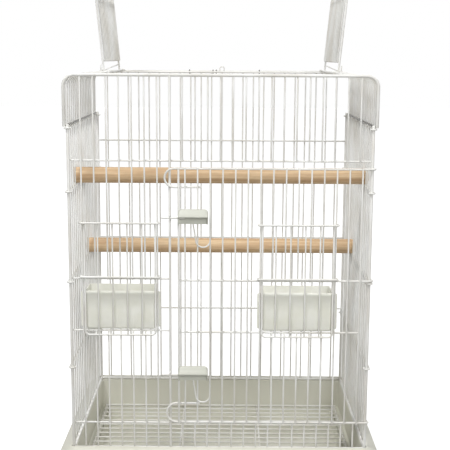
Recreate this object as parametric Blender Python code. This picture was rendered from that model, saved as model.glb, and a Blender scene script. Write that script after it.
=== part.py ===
"""Parrot cage of welded wire on a grey moulded base.

Metres, +Z up, the front at -Y, the origin under the middle of the base. The walls are panels of bars with
cross wires welded on; a bar and a cross wire meet flat to flat. The roof is a hood of bent bars with two
lift-up doors, the front has one large door, and two feeder doors slide up on guide bars.
"""

import math

import bpy
import numpy as np

# General sizes
GAP = 0.0003  # clearance between pieces that touch
BAR_PITCH = 0.01905
FRONT_PITCHES = 24
SIDE_PITCHES = 18
OVERHANG = 0.0002  # what a bar's end stands past the wire it is welded to
WELD_BITE = 0.0001  # how far the rib of a leaning roof door reaches into its bars

# Half thicknesses of the wires, measured across their flats
BAR = 0.0011
CROSS = 0.0013
DOOR_WIRE = 0.0015
FEEDER_WIRE = 0.0014
LATCH_POST = 0.0017
FRAME = 0.0023
HINGE_ROD = 0.0015
ROOF_DOOR_WIRE = 0.0014
SPRING_WIRE = 0.0010
CATCH_WIRE = 0.0009
GRILLE_FRAME = 0.0020

# Heights
BASE_H = 0.0865
RAIL_SEAT = 0.0057  # how far below the rim the cage stands on its step
CAGE_H = 0.5785  # from the base's rim to the roof's wires
HEADER_DROP = 0.1275
SILL_RISE = 0.038
FEEDER_DROP = 0.309
FEEDER_OPENING = 0.082
SIDE_DROPS = (0.079, 0.175, 0.3145, 0.450)
REAR_DROPS = (0.125, 0.306, 0.442)
REAR_WELDED = 1  # the rear cross wire that its bars are welded to

# Front wall, in bar pitches from the left corner post
LEFT_BARS = 7
GUIDES = (1, 7)

# Roof hood
ARCH_RADIUS = 0.017
ARCH_SPLICE = 0.0008
ARCH_LAP = 0.0045  # how far the posts reach up beside the arch legs
HATCH_PITCHES = (4, 15)
HINGE_OUT = 0.178
HATCH_SPREAD = 0.0055  # the doors reach this far past the hatch's edge wires
HATCH_FOOT = 0.018
HATCH_LENGTH = 0.1755
HATCH_RIB = 0.118  # from the hinge to the wire that ties the bars
HATCH_CORNER = 0.008
LEFT_LEAN = 5.5
RIGHT_LEAN = 5.5
CATCH_WIDTH = 0.0075
CATCH_HEIGHT = 0.0085

# Main door
DOOR_TOP_DROP = 0.1385
DOOR_FIRST_BAR = 0.0148  # from the hinge post to the first bar
DOOR_BARS = 15
DOOR_EDGE = 0.0097
DOOR_GUIDES = (8, 2)
DOOR_FEEDER_DROP = 0.310
DOOR_FEEDER_OPENING = 0.0815
EYE_PLAY = 0.0004
TOP_STOP_REACH = 0.0074  # how far the bent ends of the door's wires go past the latch post
TOP_STOP_HEIGHT = 0.028
TOP_STOP_TAIL = 0.0476
BOTTOM_STOP_REACH = 0.0053
BOTTOM_STOP_HEIGHT = 0.031
BOTTOM_STOP_TAIL = 0.0462

# Feeder doors
FEEDER_RISE = 0.087
FEEDER_BAR_PITCH = 0.0224
FEEDER_BARS = 4
FEEDER_CORNER = 0.006
FEEDER_HANG = 0.0058  # from the opening's lower wire down to the door's foot
WRAP_PLAY = 0.0004

# Cups
CUP_HEIGHT = 0.061
CUP_DEPTH = 0.050
CUP_WALL = 0.002
CUP_SIDE_PLAY = 0.0010
CUP_TAPER = 0.004
CUP_FLANGE = 0.0042
CUP_FLANGE_THICK = 0.0020
CUP_FLANGE_DROP = 0.0010  # from the rim down to the flanges

# Latches
UPPER_LATCH_DROP = 0.2103
LOWER_LATCH_RISE = 0.1231
GRIP_OUT = 0.0130  # from the latch post to the grip
GRIP_LENGTH = 0.0453
GRIP_HEIGHT = 0.0226
GRIP_BODY = 0.0085
GRIP_LIP = 0.0040
BOLT_DROP = 0.0018
BOLT_REACH = 0.0255
BOLT_SEAT = 0.012
BOLT_HALF = 0.0014
SPRING_DEPTH = 0.0355

# Perches
PERCH_RADIUS = 0.0127
PERCH_SLOT_PLAY = 0.0003
PERCH_PAST = 0.0014  # how far the ends go past the side wires that they rest on
FRONT_PERCH_BAR = 5  # side pitches from the front
REAR_PERCH_BAR = 12
FRONT_PERCH_WIRE = 1  # which of SIDE_DROPS each perch rests on
REAR_PERCH_WIRE = 2

# Base, tray and grille
RIM_FLAT = 0.0091
SHOULDER_OUT = 0.027
SHOULDER_DROP = 0.012
SKIRT_OUT = 0.029
BASE_WALL = 0.0025
BASE_CORNER = 0.012
STEP_CORNER = 0.003
LEDGE = 0.0125
LEDGE_Z = 0.0305
SLOT_TOP = 0.0392
TRAY_PLAY = 0.0015
TRAY_WALL = 0.002
TRAY_H = 0.0245
TRAY_FRONT = 0.0055
PULL_WIDTH = 0.090
PULL_HEIGHT = 0.013
GRILLE_PITCH = 0.0203
GRILLE_BARS = 16
GRILLE_CROSS_X = 0.0686
GRILLE_PLAY = 0.0067
GRILLE_TAB = 0.060

# Places worked out from the sizes
HALF_W = BAR_PITCH * FRONT_PITCHES / 2
HALF_D = BAR_PITCH * SIDE_PITCHES / 2
FRONT_Y = -HALF_D
REAR_Y = HALF_D
ROOF_Z = BASE_H + CAGE_H


def corner(half, sides=6):
    """Distance from a wire's centre to its edges, for a half thickness across the flats."""
    return half / math.cos(math.pi / sides)


POST_R = corner(FRAME, 8)
STEP_Z = BASE_H - RAIL_SEAT
RAIL_Z = STEP_Z + GAP + FRAME
RAIL_TOP = RAIL_Z + FRAME + GAP
HEADER_Z = ROOF_Z - HEADER_DROP
SILL_Z = BASE_H + SILL_RISE
WALL_TOP = ROOF_Z - FRAME - GAP
LEFT_Y = FRONT_Y - GAP
LEFT_WIRE_Y = LEFT_Y + BAR + CROSS
FRONT_WIRE_Y = FRONT_Y + BAR + CROSS
BETWEEN_POSTS = HALF_W - POST_R - GAP
LEFT_TOP_Z = ROOF_Z - FEEDER_DROP
LEFT_LOW_Z = LEFT_TOP_Z - FEEDER_OPENING
LATCH_POST_X = -HALF_W + BAR_PITCH * (LEFT_BARS + 1)
LATCH_POST_Y = LEFT_Y + BAR - LATCH_POST

SIDE_HOOK = POST_R + GAP + CROSS
SIDE_WIRE_X = HALF_W + SIDE_HOOK
SIDE_BAR_X = SIDE_WIRE_X - CROSS - BAR
SIDE_TOP_Z = ROOF_Z - SIDE_DROPS[0]
SIDE_BAR_TOP = SIDE_TOP_Z + corner(CROSS) + OVERHANG

ARCH_X = HALF_W + 2 * FRAME + ARCH_SPLICE
ARCH_FOOT = SIDE_TOP_Z + corner(CROSS) + GAP
POST_TOP = ARCH_FOOT + ARCH_LAP
SKIRT_FOOT = SIDE_BAR_TOP + GAP
SKIRT_X = ARCH_X - BAR - CROSS
SKIRT_Z = SKIRT_FOOT + corner(CROSS) + OVERHANG
ROD_Z = ROOF_Z + BAR + HINGE_ROD
ROD_Y = HALF_D - POST_R - GAP
HATCH_EYE = corner(HINGE_ROD) + GAP + ROOF_DOOR_WIRE

DOOR_EYE = POST_R + EYE_PLAY + DOOR_WIRE
DOOR_WIRE_Y = FRONT_Y - DOOR_EYE
DOOR_MID_Y = DOOR_WIRE_Y - GAP
DOOR_BAR_Y = DOOR_MID_Y - DOOR_WIRE - BAR
DOOR_EDGE_Y = DOOR_MID_Y - 2 * DOOR_WIRE
DOOR_TOP_Z = ROOF_Z - DOOR_TOP_DROP
DOOR_LOW_Z = SILL_Z + corner(CROSS) + GAP + corner(DOOR_WIRE)
DOOR_MID_Z = ROOF_Z - DOOR_FEEDER_DROP
DOOR_SHELF_Z = DOOR_MID_Z - DOOR_FEEDER_OPENING
DOOR_FIRST_X = HALF_W - DOOR_FIRST_BAR
DOOR_LAST_X = DOOR_FIRST_X - (DOOR_BARS - 1) * BAR_PITCH
DOOR_EDGE_X = DOOR_LAST_X - DOOR_EDGE

INNER_X = HALF_W - FRAME - GAP
INNER_Y = HALF_D - FRAME - GAP
STEP_OUT = SIDE_BAR_X + corner(BAR) + GAP - INNER_X
BASE_FRONT = INNER_Y + SKIRT_OUT

# Finishes: colour, roughness, metallic
FINISHES = {
    "powder_coat": ((0.90, 0.90, 0.88), 0.40, 0.0),
    "grey_plastic": ((0.52, 0.52, 0.48), 0.50, 0.0),
    "white_plastic": ((0.88, 0.89, 0.87), 0.35, 0.0),
    "cup_plastic": ((0.80, 0.83, 0.79), 0.25, 0.0),
    "perch_wood": ((0.62, 0.46, 0.30), 0.65, 0.0),
}


def clear_scene():
    for old in list(bpy.data.objects):
        bpy.data.objects.remove(old, do_unlink=True)


def give_material(part, finish):
    colour, roughness, metallic = FINISHES[finish]
    material = bpy.data.materials.new(part.name + "_" + finish)
    material.use_nodes = True
    shader = material.node_tree.nodes["Principled BSDF"]
    shader.inputs["Base Color"].default_value = (*colour, 1.0)
    shader.inputs["Roughness"].default_value = roughness
    shader.inputs["Metallic"].default_value = metallic
    part.data.materials.append(material)


# Shapes: each is a pair of points and faces, so that several can share a mesh


def rotate(vector, axis, angle):
    """Turn a vector round a unit axis."""
    turned = vector * math.cos(angle) + np.cross(axis, vector) * math.sin(angle)
    return turned + axis * np.dot(axis, vector) * (1 - math.cos(angle))


def wire(path, half, flat, sides=6):
    """A wire swept along a path with mitred bends. Its flats face the direction `flat` at the start."""
    path = [np.asarray(point, float) for point in path]
    steps = [(b - a) / np.linalg.norm(b - a) for a, b in zip(path, path[1:])]
    normal = np.asarray(flat, float)
    normal = normal / np.linalg.norm(normal)
    radius = corner(half, sides)
    turns = [math.pi * (2 * k + 1) / sides for k in range(sides)]
    points = []
    for i, centre in enumerate(path):
        step = steps[max(i - 1, 0)]
        if i == 0 or i == len(path) - 1:
            plane = step
        else:
            plane = steps[i - 1] + steps[i]
        side = np.cross(step, normal)
        for turn in turns:
            offset = radius * (math.cos(turn) * normal + math.sin(turn) * side)
            slide = -np.dot(offset, plane) / np.dot(step, plane)
            points.append(centre + offset + slide * step)
        if 0 < i < len(path) - 1:
            bend = np.cross(steps[i - 1], steps[i])
            size = np.linalg.norm(bend)
            if size > 1e-9:
                angle = math.atan2(size, np.dot(steps[i - 1], steps[i]))
                normal = rotate(normal, bend / size, angle)
    faces = [tuple(range(sides))[::-1]]
    for i in range(len(path) - 1):
        for k in range(sides):
            a = i * sides + k
            b = i * sides + (k + 1) % sides
            faces.append((a, b, b + sides, a + sides))
    last = (len(path) - 1) * sides
    faces.append(tuple(range(last, last + sides)))
    return np.array(points), faces


def straight(start, end, half, flat, sides=6):
    return wire([start, end], half, flat, sides)


def loft(loops):
    """Skin equal loops of points in order and close both ends."""
    count = len(loops[0])
    faces = [tuple(range(count))[::-1]]
    for i in range(len(loops) - 1):
        for k in range(count):
            a = i * count + k
            b = i * count + (k + 1) % count
            faces.append((a, b, b + count, a + count))
    last = (len(loops) - 1) * count
    faces.append(tuple(range(last, last + count)))
    return np.concatenate(loops), faces


def ring(loops):
    """Skin equal loops of points round a closed section, which leaves a hole in the middle."""
    count = len(loops[0])
    faces = []
    for i in range(len(loops)):
        after = (i + 1) % len(loops)
        for k in range(count):
            k_next = (k + 1) % count
            faces.append((i * count + k, i * count + k_next, after * count + k_next, after * count + k))
    return np.concatenate(loops), faces


def rounded_loop(half_x, half_y, radius, z, steps=3, middle=(0.0, 0.0)):
    """A rectangle with round corners, anticlockwise from the +X side."""
    points = []
    for quarter, (sx, sy) in enumerate(((1, 1), (-1, 1), (-1, -1), (1, -1))):
        for k in range(steps + 1):
            angle = math.pi / 2 * (quarter + k / steps)
            x = middle[0] + sx * (half_x - radius) + radius * math.cos(angle)
            y = middle[1] + sy * (half_y - radius) + radius * math.sin(angle)
            points.append((x, y, z))
    return np.array(points)


def box(low, high):
    low_x, low_y, low_z = low
    high_x, high_y, high_z = high
    floor = [(low_x, low_y), (high_x, low_y), (high_x, high_y), (low_x, high_y)]
    return loft([np.array([(x, y, z) for x, y in floor]) for z in (low_z, high_z)])


def arc(middle, radius, first, last, steps, u, v):
    """Points on a bend from one angle to another. The straight runs between them touch the radius."""
    middle = np.asarray(middle, float)
    u = np.asarray(u, float)
    v = np.asarray(v, float)
    first = math.radians(first)
    last = math.radians(last)
    reach = radius / math.cos((last - first) / steps / 2)
    points = [middle + radius * (math.cos(first) * u + math.sin(first) * v)]
    for k in range(steps):
        angle = first + (last - first) * (k + 0.5) / steps
        points.append(middle + reach * (math.cos(angle) * u + math.sin(angle) * v))
    points.append(middle + radius * (math.cos(last) * u + math.sin(last) * v))
    return points


def join(shapes):
    """Put separate shapes into one mesh."""
    points = []
    faces = []
    start = 0
    for shape_points, shape_faces in shapes:
        points.append(shape_points)
        faces += [tuple(start + i for i in face) for face in shape_faces]
        start += len(shape_points)
    return np.concatenate(points), faces


def mirrored(shape):
    """The shape on the other side of the cage's middle plane."""
    points, faces = shape
    return points * np.array([-1.0, 1.0, 1.0]), [face[::-1] for face in faces]


def place_of(empty):
    """Where an empty stands in the cage's own axes."""
    place = np.zeros(3)
    while empty:
        place = place + np.array(empty.location)
        empty = empty.parent
    return place


def pivot(name, place, parent=None):
    """An empty on a joint's axis."""
    empty = bpy.data.objects.new(name, None)
    empty.parent = parent
    empty.location = np.array(place) - place_of(parent)
    empty.empty_display_size = 0.02
    bpy.context.scene.collection.objects.link(empty)
    return empty


def add_mesh(name, shape, parent):
    points, faces = shape
    start = place_of(parent)
    mesh = bpy.data.meshes.new(name)
    mesh.from_pydata([tuple(point) for point in np.round(points - start, 7)], [], faces)
    mesh.update()
    part = bpy.data.objects.new(name, mesh)
    part.parent = parent
    bpy.context.scene.collection.objects.link(part)
    return part


def add_part(name, shape, finish, parent=None, weld=(), cut=()):
    """A named piece. Shapes in `weld` are joined to it and shapes in `cut` are taken away."""
    part = add_mesh(name, shape, parent)
    part.data.shade_smooth()
    part.data.set_sharp_from_angle(angle=math.radians(65))
    give_material(part, finish)
    work = [("UNION", other) for other in weld] + [("DIFFERENCE", other) for other in cut]
    for number, (operation, other) in enumerate(work):
        tool = add_mesh(f"{name}_tool_{number}", other, parent)
        tool.hide_render = True
        tool.display_type = "WIRE"
        step = part.modifiers.new(operation.lower(), "BOOLEAN")
        step.operation = operation
        step.solver = "EXACT"
        step.object = tool
    return part


X = (1, 0, 0)
Y = (0, 1, 0)
Z = (0, 0, 1)


def front_x(k):
    return -HALF_W + k * BAR_PITCH


def side_y(k):
    return -HALF_D + k * BAR_PITCH


def upright(x, y, low, high, half=BAR, flat=Y, sides=6):
    return straight((x, y, low), (x, y, high), half, flat, sides)


def above(z, half):
    """End of a bar that is welded to a wire and stands just over it."""
    return z + corner(half) + OVERHANG


def below(z, half):
    return z - corner(half) - OVERHANG


# Walls


def corner_posts():
    corners = (
        ("front_left_post", -1, -1),
        ("hinge_post", 1, -1),
        ("rear_left_post", -1, 1),
        ("rear_right_post", 1, 1),
    )
    for name, sx, sy in corners:
        shape = upright(sx * HALF_W, sy * HALF_D, STEP_Z + GAP, POST_TOP, FRAME, Y, 8)
        add_part(name, shape, "powder_coat")


def bottom_rails():
    for name, y in (("front_rail", FRONT_Y), ("rear_rail", REAR_Y)):
        shape = straight((-BETWEEN_POSTS, y, RAIL_Z), (BETWEEN_POSTS, y, RAIL_Z), FRAME, Y, 8)
        add_part(name, shape, "powder_coat")
    for name, x in (("left_rail", -HALF_W), ("right_rail", HALF_W)):
        shape = straight((x, -ROD_Y, RAIL_Z), (x, ROD_Y, RAIL_Z), FRAME, X, 8)
        add_part(name, shape, "powder_coat")


def front_wall():
    first, last = GUIDES
    bars = []
    for k in range(1, LEFT_BARS + 1):
        x = front_x(k)
        if first < k < last:
            bars.append(upright(x, LEFT_Y, RAIL_TOP, above(LEFT_LOW_Z, CROSS)))
            bars.append(upright(x, LEFT_Y, below(LEFT_TOP_Z, CROSS), WALL_TOP))
        else:
            bars.append(upright(x, LEFT_Y, RAIL_TOP, WALL_TOP))
    bars.append(upright(LATCH_POST_X, LATCH_POST_Y, RAIL_TOP, WALL_TOP, LATCH_POST))
    end = LATCH_POST_X + corner(LATCH_POST)
    wires = []
    for z in (LEFT_LOW_Z, LEFT_TOP_Z):
        wires.append(straight((-BETWEEN_POSTS, LEFT_WIRE_Y, z), (end, LEFT_WIRE_Y, z), CROSS, Y))
    add_part("front_left_bars", join(bars), "powder_coat", weld=[join(wires)])

    short = range(LEFT_BARS + 2, FRONT_PITCHES)
    for name, z, low, high in (
        ("front_upper_bars", HEADER_Z, below(HEADER_Z, CROSS), WALL_TOP),
        ("front_lower_bars", SILL_Z, RAIL_TOP, above(SILL_Z, CROSS)),
    ):
        bars = [upright(front_x(k), FRONT_Y, low, high) for k in short]
        long_wire = straight((-BETWEEN_POSTS, FRONT_WIRE_Y, z), (BETWEEN_POSTS, FRONT_WIRE_Y, z), CROSS, Y)
        add_part(name, join(bars), "powder_coat", weld=[long_wire])


def rear_wall():
    bars = [upright(front_x(k), REAR_Y, RAIL_TOP, WALL_TOP) for k in range(1, FRONT_PITCHES)]
    for number, drop in enumerate(REAR_DROPS):
        welded = number == REAR_WELDED
        y = REAR_Y - BAR - CROSS - (0 if welded else GAP)
        z = ROOF_Z - drop
        cross = straight((-BETWEEN_POSTS, y, z), (BETWEEN_POSTS, y, z), CROSS, Y)
        if welded:
            add_part("rear_bars", join(bars), "powder_coat", weld=[cross])
        else:
            add_part(f"rear_wire_{number + 1}", cross, "powder_coat")


def hooked_wire(z, reach):
    """A left side wire whose ends go round the corner posts. `reach` is the hooks' radius."""
    path = arc((-HALF_W, FRONT_Y, z), reach, 60, -180, 5, X, Y)
    path += [point * np.array([1.0, -1.0, 1.0]) for point in reversed(path)]
    return wire(path[::-1], CROSS, radial(60))


def radial(degrees):
    """Direction in the ground plane."""
    angle = math.radians(degrees)
    return (math.cos(angle), -math.sin(angle), 0.0)


def side_walls():
    bars = []
    for k in range(1, SIDE_PITCHES):
        bars.append(upright(-SIDE_BAR_X, side_y(k), RAIL_TOP, SIDE_BAR_TOP, BAR, X))
    for side in ("left", "right"):
        for number, drop in enumerate(SIDE_DROPS):
            cross = hooked_wire(ROOF_Z - drop, SIDE_HOOK + (GAP if number else 0.0))
            shapes = (join(bars), cross)
            if side == "right":
                shapes = tuple(mirrored(shape) for shape in shapes)
            if number == 0:
                add_part(f"{side}_bars", shapes[0], "powder_coat", weld=[shapes[1]])
            else:
                add_part(f"{side}_wire_{number + 1}", shapes[1], "powder_coat")


# Roof hood


def arch_corner(y, steps, first=180.0, last=90.0):
    """Left bend of the hood, from the skirt up to the roof."""
    middle = (-ARCH_X + ARCH_RADIUS, y, ROOF_Z - ARCH_RADIUS)
    return arc(middle, ARCH_RADIUS, first, last, steps, X, Z)


def roof_arches():
    for name, y in (("roof_front_arch", FRONT_Y), ("roof_rear_arch", REAR_Y)):
        left = [np.array((-ARCH_X, y, ARCH_FOOT))] + arch_corner(y, 4)
        right = [point * np.array([-1.0, 1.0, 1.0]) for point in reversed(left)]
        add_part(name, wire(left + right, FRAME, Y, 8), "powder_coat")


def hood_sides():
    """The hood's bent bars, in two pieces a side that meet halfway round the bend."""
    cut = math.degrees(GAP / ARCH_RADIUS)
    start = math.radians(135 - cut)
    flat = (math.cos(start), 0.0, math.sin(start))
    end = HINGE_OUT - corner(HINGE_ROD) - OVERHANG
    lower = []
    upper = []
    for k in range(1, SIDE_PITCHES):
        y = side_y(k)
        lower.append(wire([np.array((-ARCH_X, y, SKIRT_FOOT))] + arch_corner(y, 1, 180, 135 + cut), BAR, X))
        upper.append(wire(arch_corner(y, 1, 135 - cut, 90) + [np.array((-end, y, ROOF_Z))], BAR, flat))
    skirt = straight((-SKIRT_X, -ROD_Y, SKIRT_Z), (-SKIRT_X, ROD_Y, SKIRT_Z), CROSS, X)
    rod = straight((-HINGE_OUT, -ROD_Y, ROD_Z), (-HINGE_OUT, ROD_Y, ROD_Z), HINGE_ROD, Z)
    add_part("roof_left_skirt", join(lower), "powder_coat", weld=[skirt])
    add_part("roof_left_bars", join(upper), "powder_coat", weld=[rod])
    add_part("roof_right_skirt", mirrored(join(lower)), "powder_coat", weld=[mirrored(skirt)])
    add_part("roof_right_bars", mirrored(join(upper)), "powder_coat", weld=[mirrored(rod)])


def roof_wires():
    """The roof's bars before and behind the hatch. One carries the catch that holds the closed roof doors."""
    first, last = HATCH_PITCHES
    end = HINGE_OUT - corner(HINGE_ROD) - OVERHANG - GAP
    foot = ROOF_Z
    half = CATCH_WIDTH / 2
    y = side_y(last + 1)
    crown = arc((0, y, foot + BAR + CATCH_HEIGHT - half), half, 180, 0, 4, X, Z)
    path = [np.array((-half, y, foot))] + crown + [np.array((half, y, foot))]
    catch = wire(path, CATCH_WIRE, Y)
    rows = [("roof_front_wire", k, k) for k in range(1, first + 1)]
    rows += [("roof_rear_wire", k, k - last + 1) for k in range(last, SIDE_PITCHES)]
    for name, k, number in rows:
        shape = straight((-end, side_y(k), ROOF_Z), (end, side_y(k), ROOF_Z), BAR, Z)
        add_part(f"{name}_{number}", shape, "powder_coat", weld=[catch] if k == last + 1 else [])


def hatch_point(side, lean, u, y, w):
    """A point on an open roof door: u along the door from its hinge, w outwards from it."""
    angle = math.radians(lean)
    x = HINGE_OUT + math.sin(angle) * u + math.cos(angle) * w
    z = ROD_Z + math.cos(angle) * u - math.sin(angle) * w
    return np.array((side * x, y, z))


def roof_door(name, side, lean):
    axis = pivot(name + "_axis", (side * HINGE_OUT, 0.0, ROD_Z))
    first, last = HATCH_PITCHES
    low_y = side_y(first) - HATCH_SPREAD
    high_y = side_y(last) + HATCH_SPREAD
    bend = HATCH_CORNER

    def place(u, y, w=HATCH_EYE):
        return hatch_point(side, lean, u, y, w)

    def flat_of(u, w):
        return hatch_point(side, lean, u, 0.0, w) - hatch_point(side, lean, 0.0, 0.0, 0.0)

    eye = arc((0, 0), HATCH_EYE, 315, 90, 5, (1, 0), (0, 1))
    path = [place(u, low_y, w) for u, w in eye]
    path += [place(HATCH_LENGTH - bend, low_y), place(HATCH_LENGTH - bend * 0.3, low_y + bend * 0.3)]
    path += [place(HATCH_LENGTH, low_y + bend), place(HATCH_LENGTH, high_y - bend)]
    path += [place(HATCH_LENGTH - bend * 0.3, high_y - bend * 0.3), place(HATCH_LENGTH - bend, high_y)]
    path += [place(u, high_y, w) for u, w in reversed(eye)]
    start = eye[0] / np.linalg.norm(eye[0])
    frame = wire(path, ROOF_DOOR_WIRE, flat_of(start[0], start[1]))
    foot = straight(place(HATCH_FOOT, low_y), place(HATCH_FOOT, high_y), ROOF_DOOR_WIRE, flat_of(0.0, 1.0))
    add_part(name + "_frame", frame, "powder_coat", axis, weld=[foot])

    level = HATCH_EYE - ROOF_DOOR_WIRE - GAP - BAR
    low_u = HATCH_FOOT - corner(ROOF_DOOR_WIRE)
    high_u = HATCH_LENGTH + corner(ROOF_DOOR_WIRE)
    bars = []
    for k in range(first, last + 1):
        ends = (place(low_u, side_y(k), level), place(high_u, side_y(k), level))
        bars.append(straight(ends[0], ends[1], BAR, flat_of(0.0, 1.0)))
    inset = corner(ROOF_DOOR_WIRE) + GAP
    level += BAR + CROSS - WELD_BITE
    ends = (place(HATCH_RIB, low_y + inset, level), place(HATCH_RIB, high_y - inset, level))
    rib = straight(ends[0], ends[1], CROSS, flat_of(0.0, 1.0))
    add_part(name + "_bars", join(bars), "powder_coat", axis, weld=[rib])


# Main door


def hinge_eye(y_radius, z):
    """Points of a wire's end round the hinge post, from its tail to the front."""
    return arc((HALF_W, FRONT_Y, z), y_radius, 150, -90, 5, X, Y)


def stop_wire(z, lift, reach, height, end):
    """A door wire from the hinge eye to the latch side, where it turns back past the latch post."""
    radius = height / 2
    middle = (LATCH_POST_X - reach + radius, DOOR_WIRE_Y, z + lift * radius)
    bend = arc(middle, radius, -90 * lift, -270 * lift, 6, X, Z)
    tail = np.array((LATCH_POST_X + end, DOOR_WIRE_Y, z + lift * height))
    return wire(hinge_eye(DOOR_EYE, z) + bend + [tail], DOOR_WIRE, radial(-150))


def main_door(axis):
    top = stop_wire(DOOR_TOP_Z, -1, TOP_STOP_REACH, TOP_STOP_HEIGHT, TOP_STOP_TAIL)
    bottom = stop_wire(DOOR_LOW_Z, 1, BOTTOM_STOP_REACH, BOTTOM_STOP_HEIGHT, BOTTOM_STOP_TAIL)
    add_part("door_top_wire", top, "powder_coat", axis)
    add_part("door_bottom_wire", bottom, "powder_coat", axis)

    low = below(DOOR_LOW_Z, DOOR_WIRE)
    high = above(DOOR_TOP_Z, DOOR_WIRE)
    last, first = DOOR_GUIDES
    bars = [upright(DOOR_EDGE_X, DOOR_EDGE_Y, low, high, DOOR_WIRE)]
    for j in range(DOOR_BARS):
        x = DOOR_FIRST_X - j * BAR_PITCH
        if first < j < last:
            bars.append(upright(x, DOOR_BAR_Y, low, above(DOOR_SHELF_Z, DOOR_WIRE)))
            bars.append(upright(x, DOOR_BAR_Y, below(DOOR_MID_Z, DOOR_WIRE), high))
        else:
            bars.append(upright(x, DOOR_BAR_Y, low, high))
    left = DOOR_EDGE_X - corner(DOOR_WIRE)
    right = DOOR_FIRST_X + corner(BAR)
    eye = hinge_eye(DOOR_EYE + GAP, DOOR_MID_Z)
    mid = wire(eye + [np.array((left, DOOR_MID_Y, DOOR_MID_Z))], DOOR_WIRE, radial(-150))
    shelf = straight((right, DOOR_MID_Y, DOOR_SHELF_Z), (left, DOOR_MID_Y, DOOR_SHELF_Z), DOOR_WIRE, Y)
    add_part("door_bars", join(bars), "powder_coat", axis, weld=[join([mid, shelf])])


# Feeder doors and cups


def feeder_door(name, left, right, guide_y, top_z, low_z, wire_half, parent):
    """A door that slides up two guide bars. top_z and low_z are the opening's wires."""
    axis = pivot(name + "_axis", ((left + right) / 2, guide_y, low_z), parent)
    half = (right - left) / 2
    middle = (left + right) / 2
    leg = half - corner(BAR) - GAP - corner(FEEDER_WIRE)
    leg_y = guide_y - BAR - GAP - FEEDER_WIRE
    wire_y = leg_y - 2 * FEEDER_WIRE
    bar_y = leg_y - FEEDER_WIRE + BAR
    rest_z = top_z + corner(wire_half) + GAP + corner(FEEDER_WIRE)
    head_z = top_z + FEEDER_RISE
    foot_z = low_z - FEEDER_HANG
    low_corner = arc((-leg + FEEDER_CORNER, leg_y, foot_z + FEEDER_CORNER), FEEDER_CORNER, 180, 270, 2, X, Z)
    left_path = [np.array((-leg, leg_y, above(head_z, FEEDER_WIRE)))] + low_corner
    right_path = [point * np.array([-1.0, 1.0, 1.0]) for point in reversed(left_path)]
    frame = wire(left_path + right_path, FEEDER_WIRE, Y)

    side = half + corner(BAR) + WRAP_PLAY + corner(FEEDER_WIRE)
    back_y = guide_y + BAR + WRAP_PLAY + corner(FEEDER_WIRE)
    bend = 0.002
    wires = []
    for z in (rest_z, head_z):
        hook = [(half - 0.001, back_y), (side - bend, back_y), (side, back_y - bend)]
        hook += [(side, wire_y + bend), (side - bend, wire_y)]
        path = [np.array((x, y, z)) for x, y in hook]
        path += [point * np.array([-1.0, 1.0, 1.0]) for point in reversed(path)]
        wires.append(wire(path, FEEDER_WIRE, Y))
    bars = []
    for i in range(FEEDER_BARS):
        x = (i - (FEEDER_BARS - 1) / 2) * FEEDER_BAR_PITCH
        bars.append(upright(x, bar_y, foot_z, above(head_z, FEEDER_WIRE)))
    shapes = []
    for points, faces in (frame, join(wires), join(bars)):
        shapes.append((points + np.array((middle, 0.0, 0.0)), faces))
    add_part(name, shapes[0], "powder_coat", axis, weld=shapes[1:])


def cup(name, left, right, guide_y, low_z, wire_half, parent):
    """A cup that sits in a feeder opening on its lower wire, with flanges behind the guide bars."""
    axis = pivot(name + "_axis", ((left + right) / 2, guide_y, low_z), parent)
    middle = (left + right) / 2
    half = (right - left) / 2 - corner(BAR) - CUP_SIDE_PLAY
    floor_z = above(low_z, wire_half) + GAP
    rim_z = floor_z + CUP_HEIGHT
    front = guide_y - BAR
    loops = []
    for inset, z, taper in (
        (0.0, floor_z, CUP_TAPER),
        (0.0, rim_z, 0.0),
        (CUP_WALL, rim_z, 0.0),
        (CUP_WALL, floor_z + CUP_WALL, CUP_TAPER),
    ):
        depth = CUP_DEPTH / 2 - taper / 2
        centre = (middle, front + depth)
        loops.append(rounded_loop(half - inset - taper / 4, depth - inset, 0.006 - inset, z, 2, centre))
    flange_y = guide_y + BAR + GAP
    reach = (right - left) / 2 + CUP_FLANGE
    low = floor_z + CUP_FLANGE
    high = rim_z - CUP_FLANGE_DROP
    flanges = box((middle - reach, flange_y, low), (middle + reach, flange_y + CUP_FLANGE_THICK, high))
    add_part(name, loft(loops[:2]), "cup_plastic", axis, weld=[flanges], cut=[loft(hollow_loops(loops[2:]))])


def hollow_loops(loops):
    """The inside of a cup from its floor up, drawn a little past the rim."""
    top, floor = loops
    return [floor, top, top + np.array((0.0, 0.0, 0.002))]


# Latches


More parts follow.
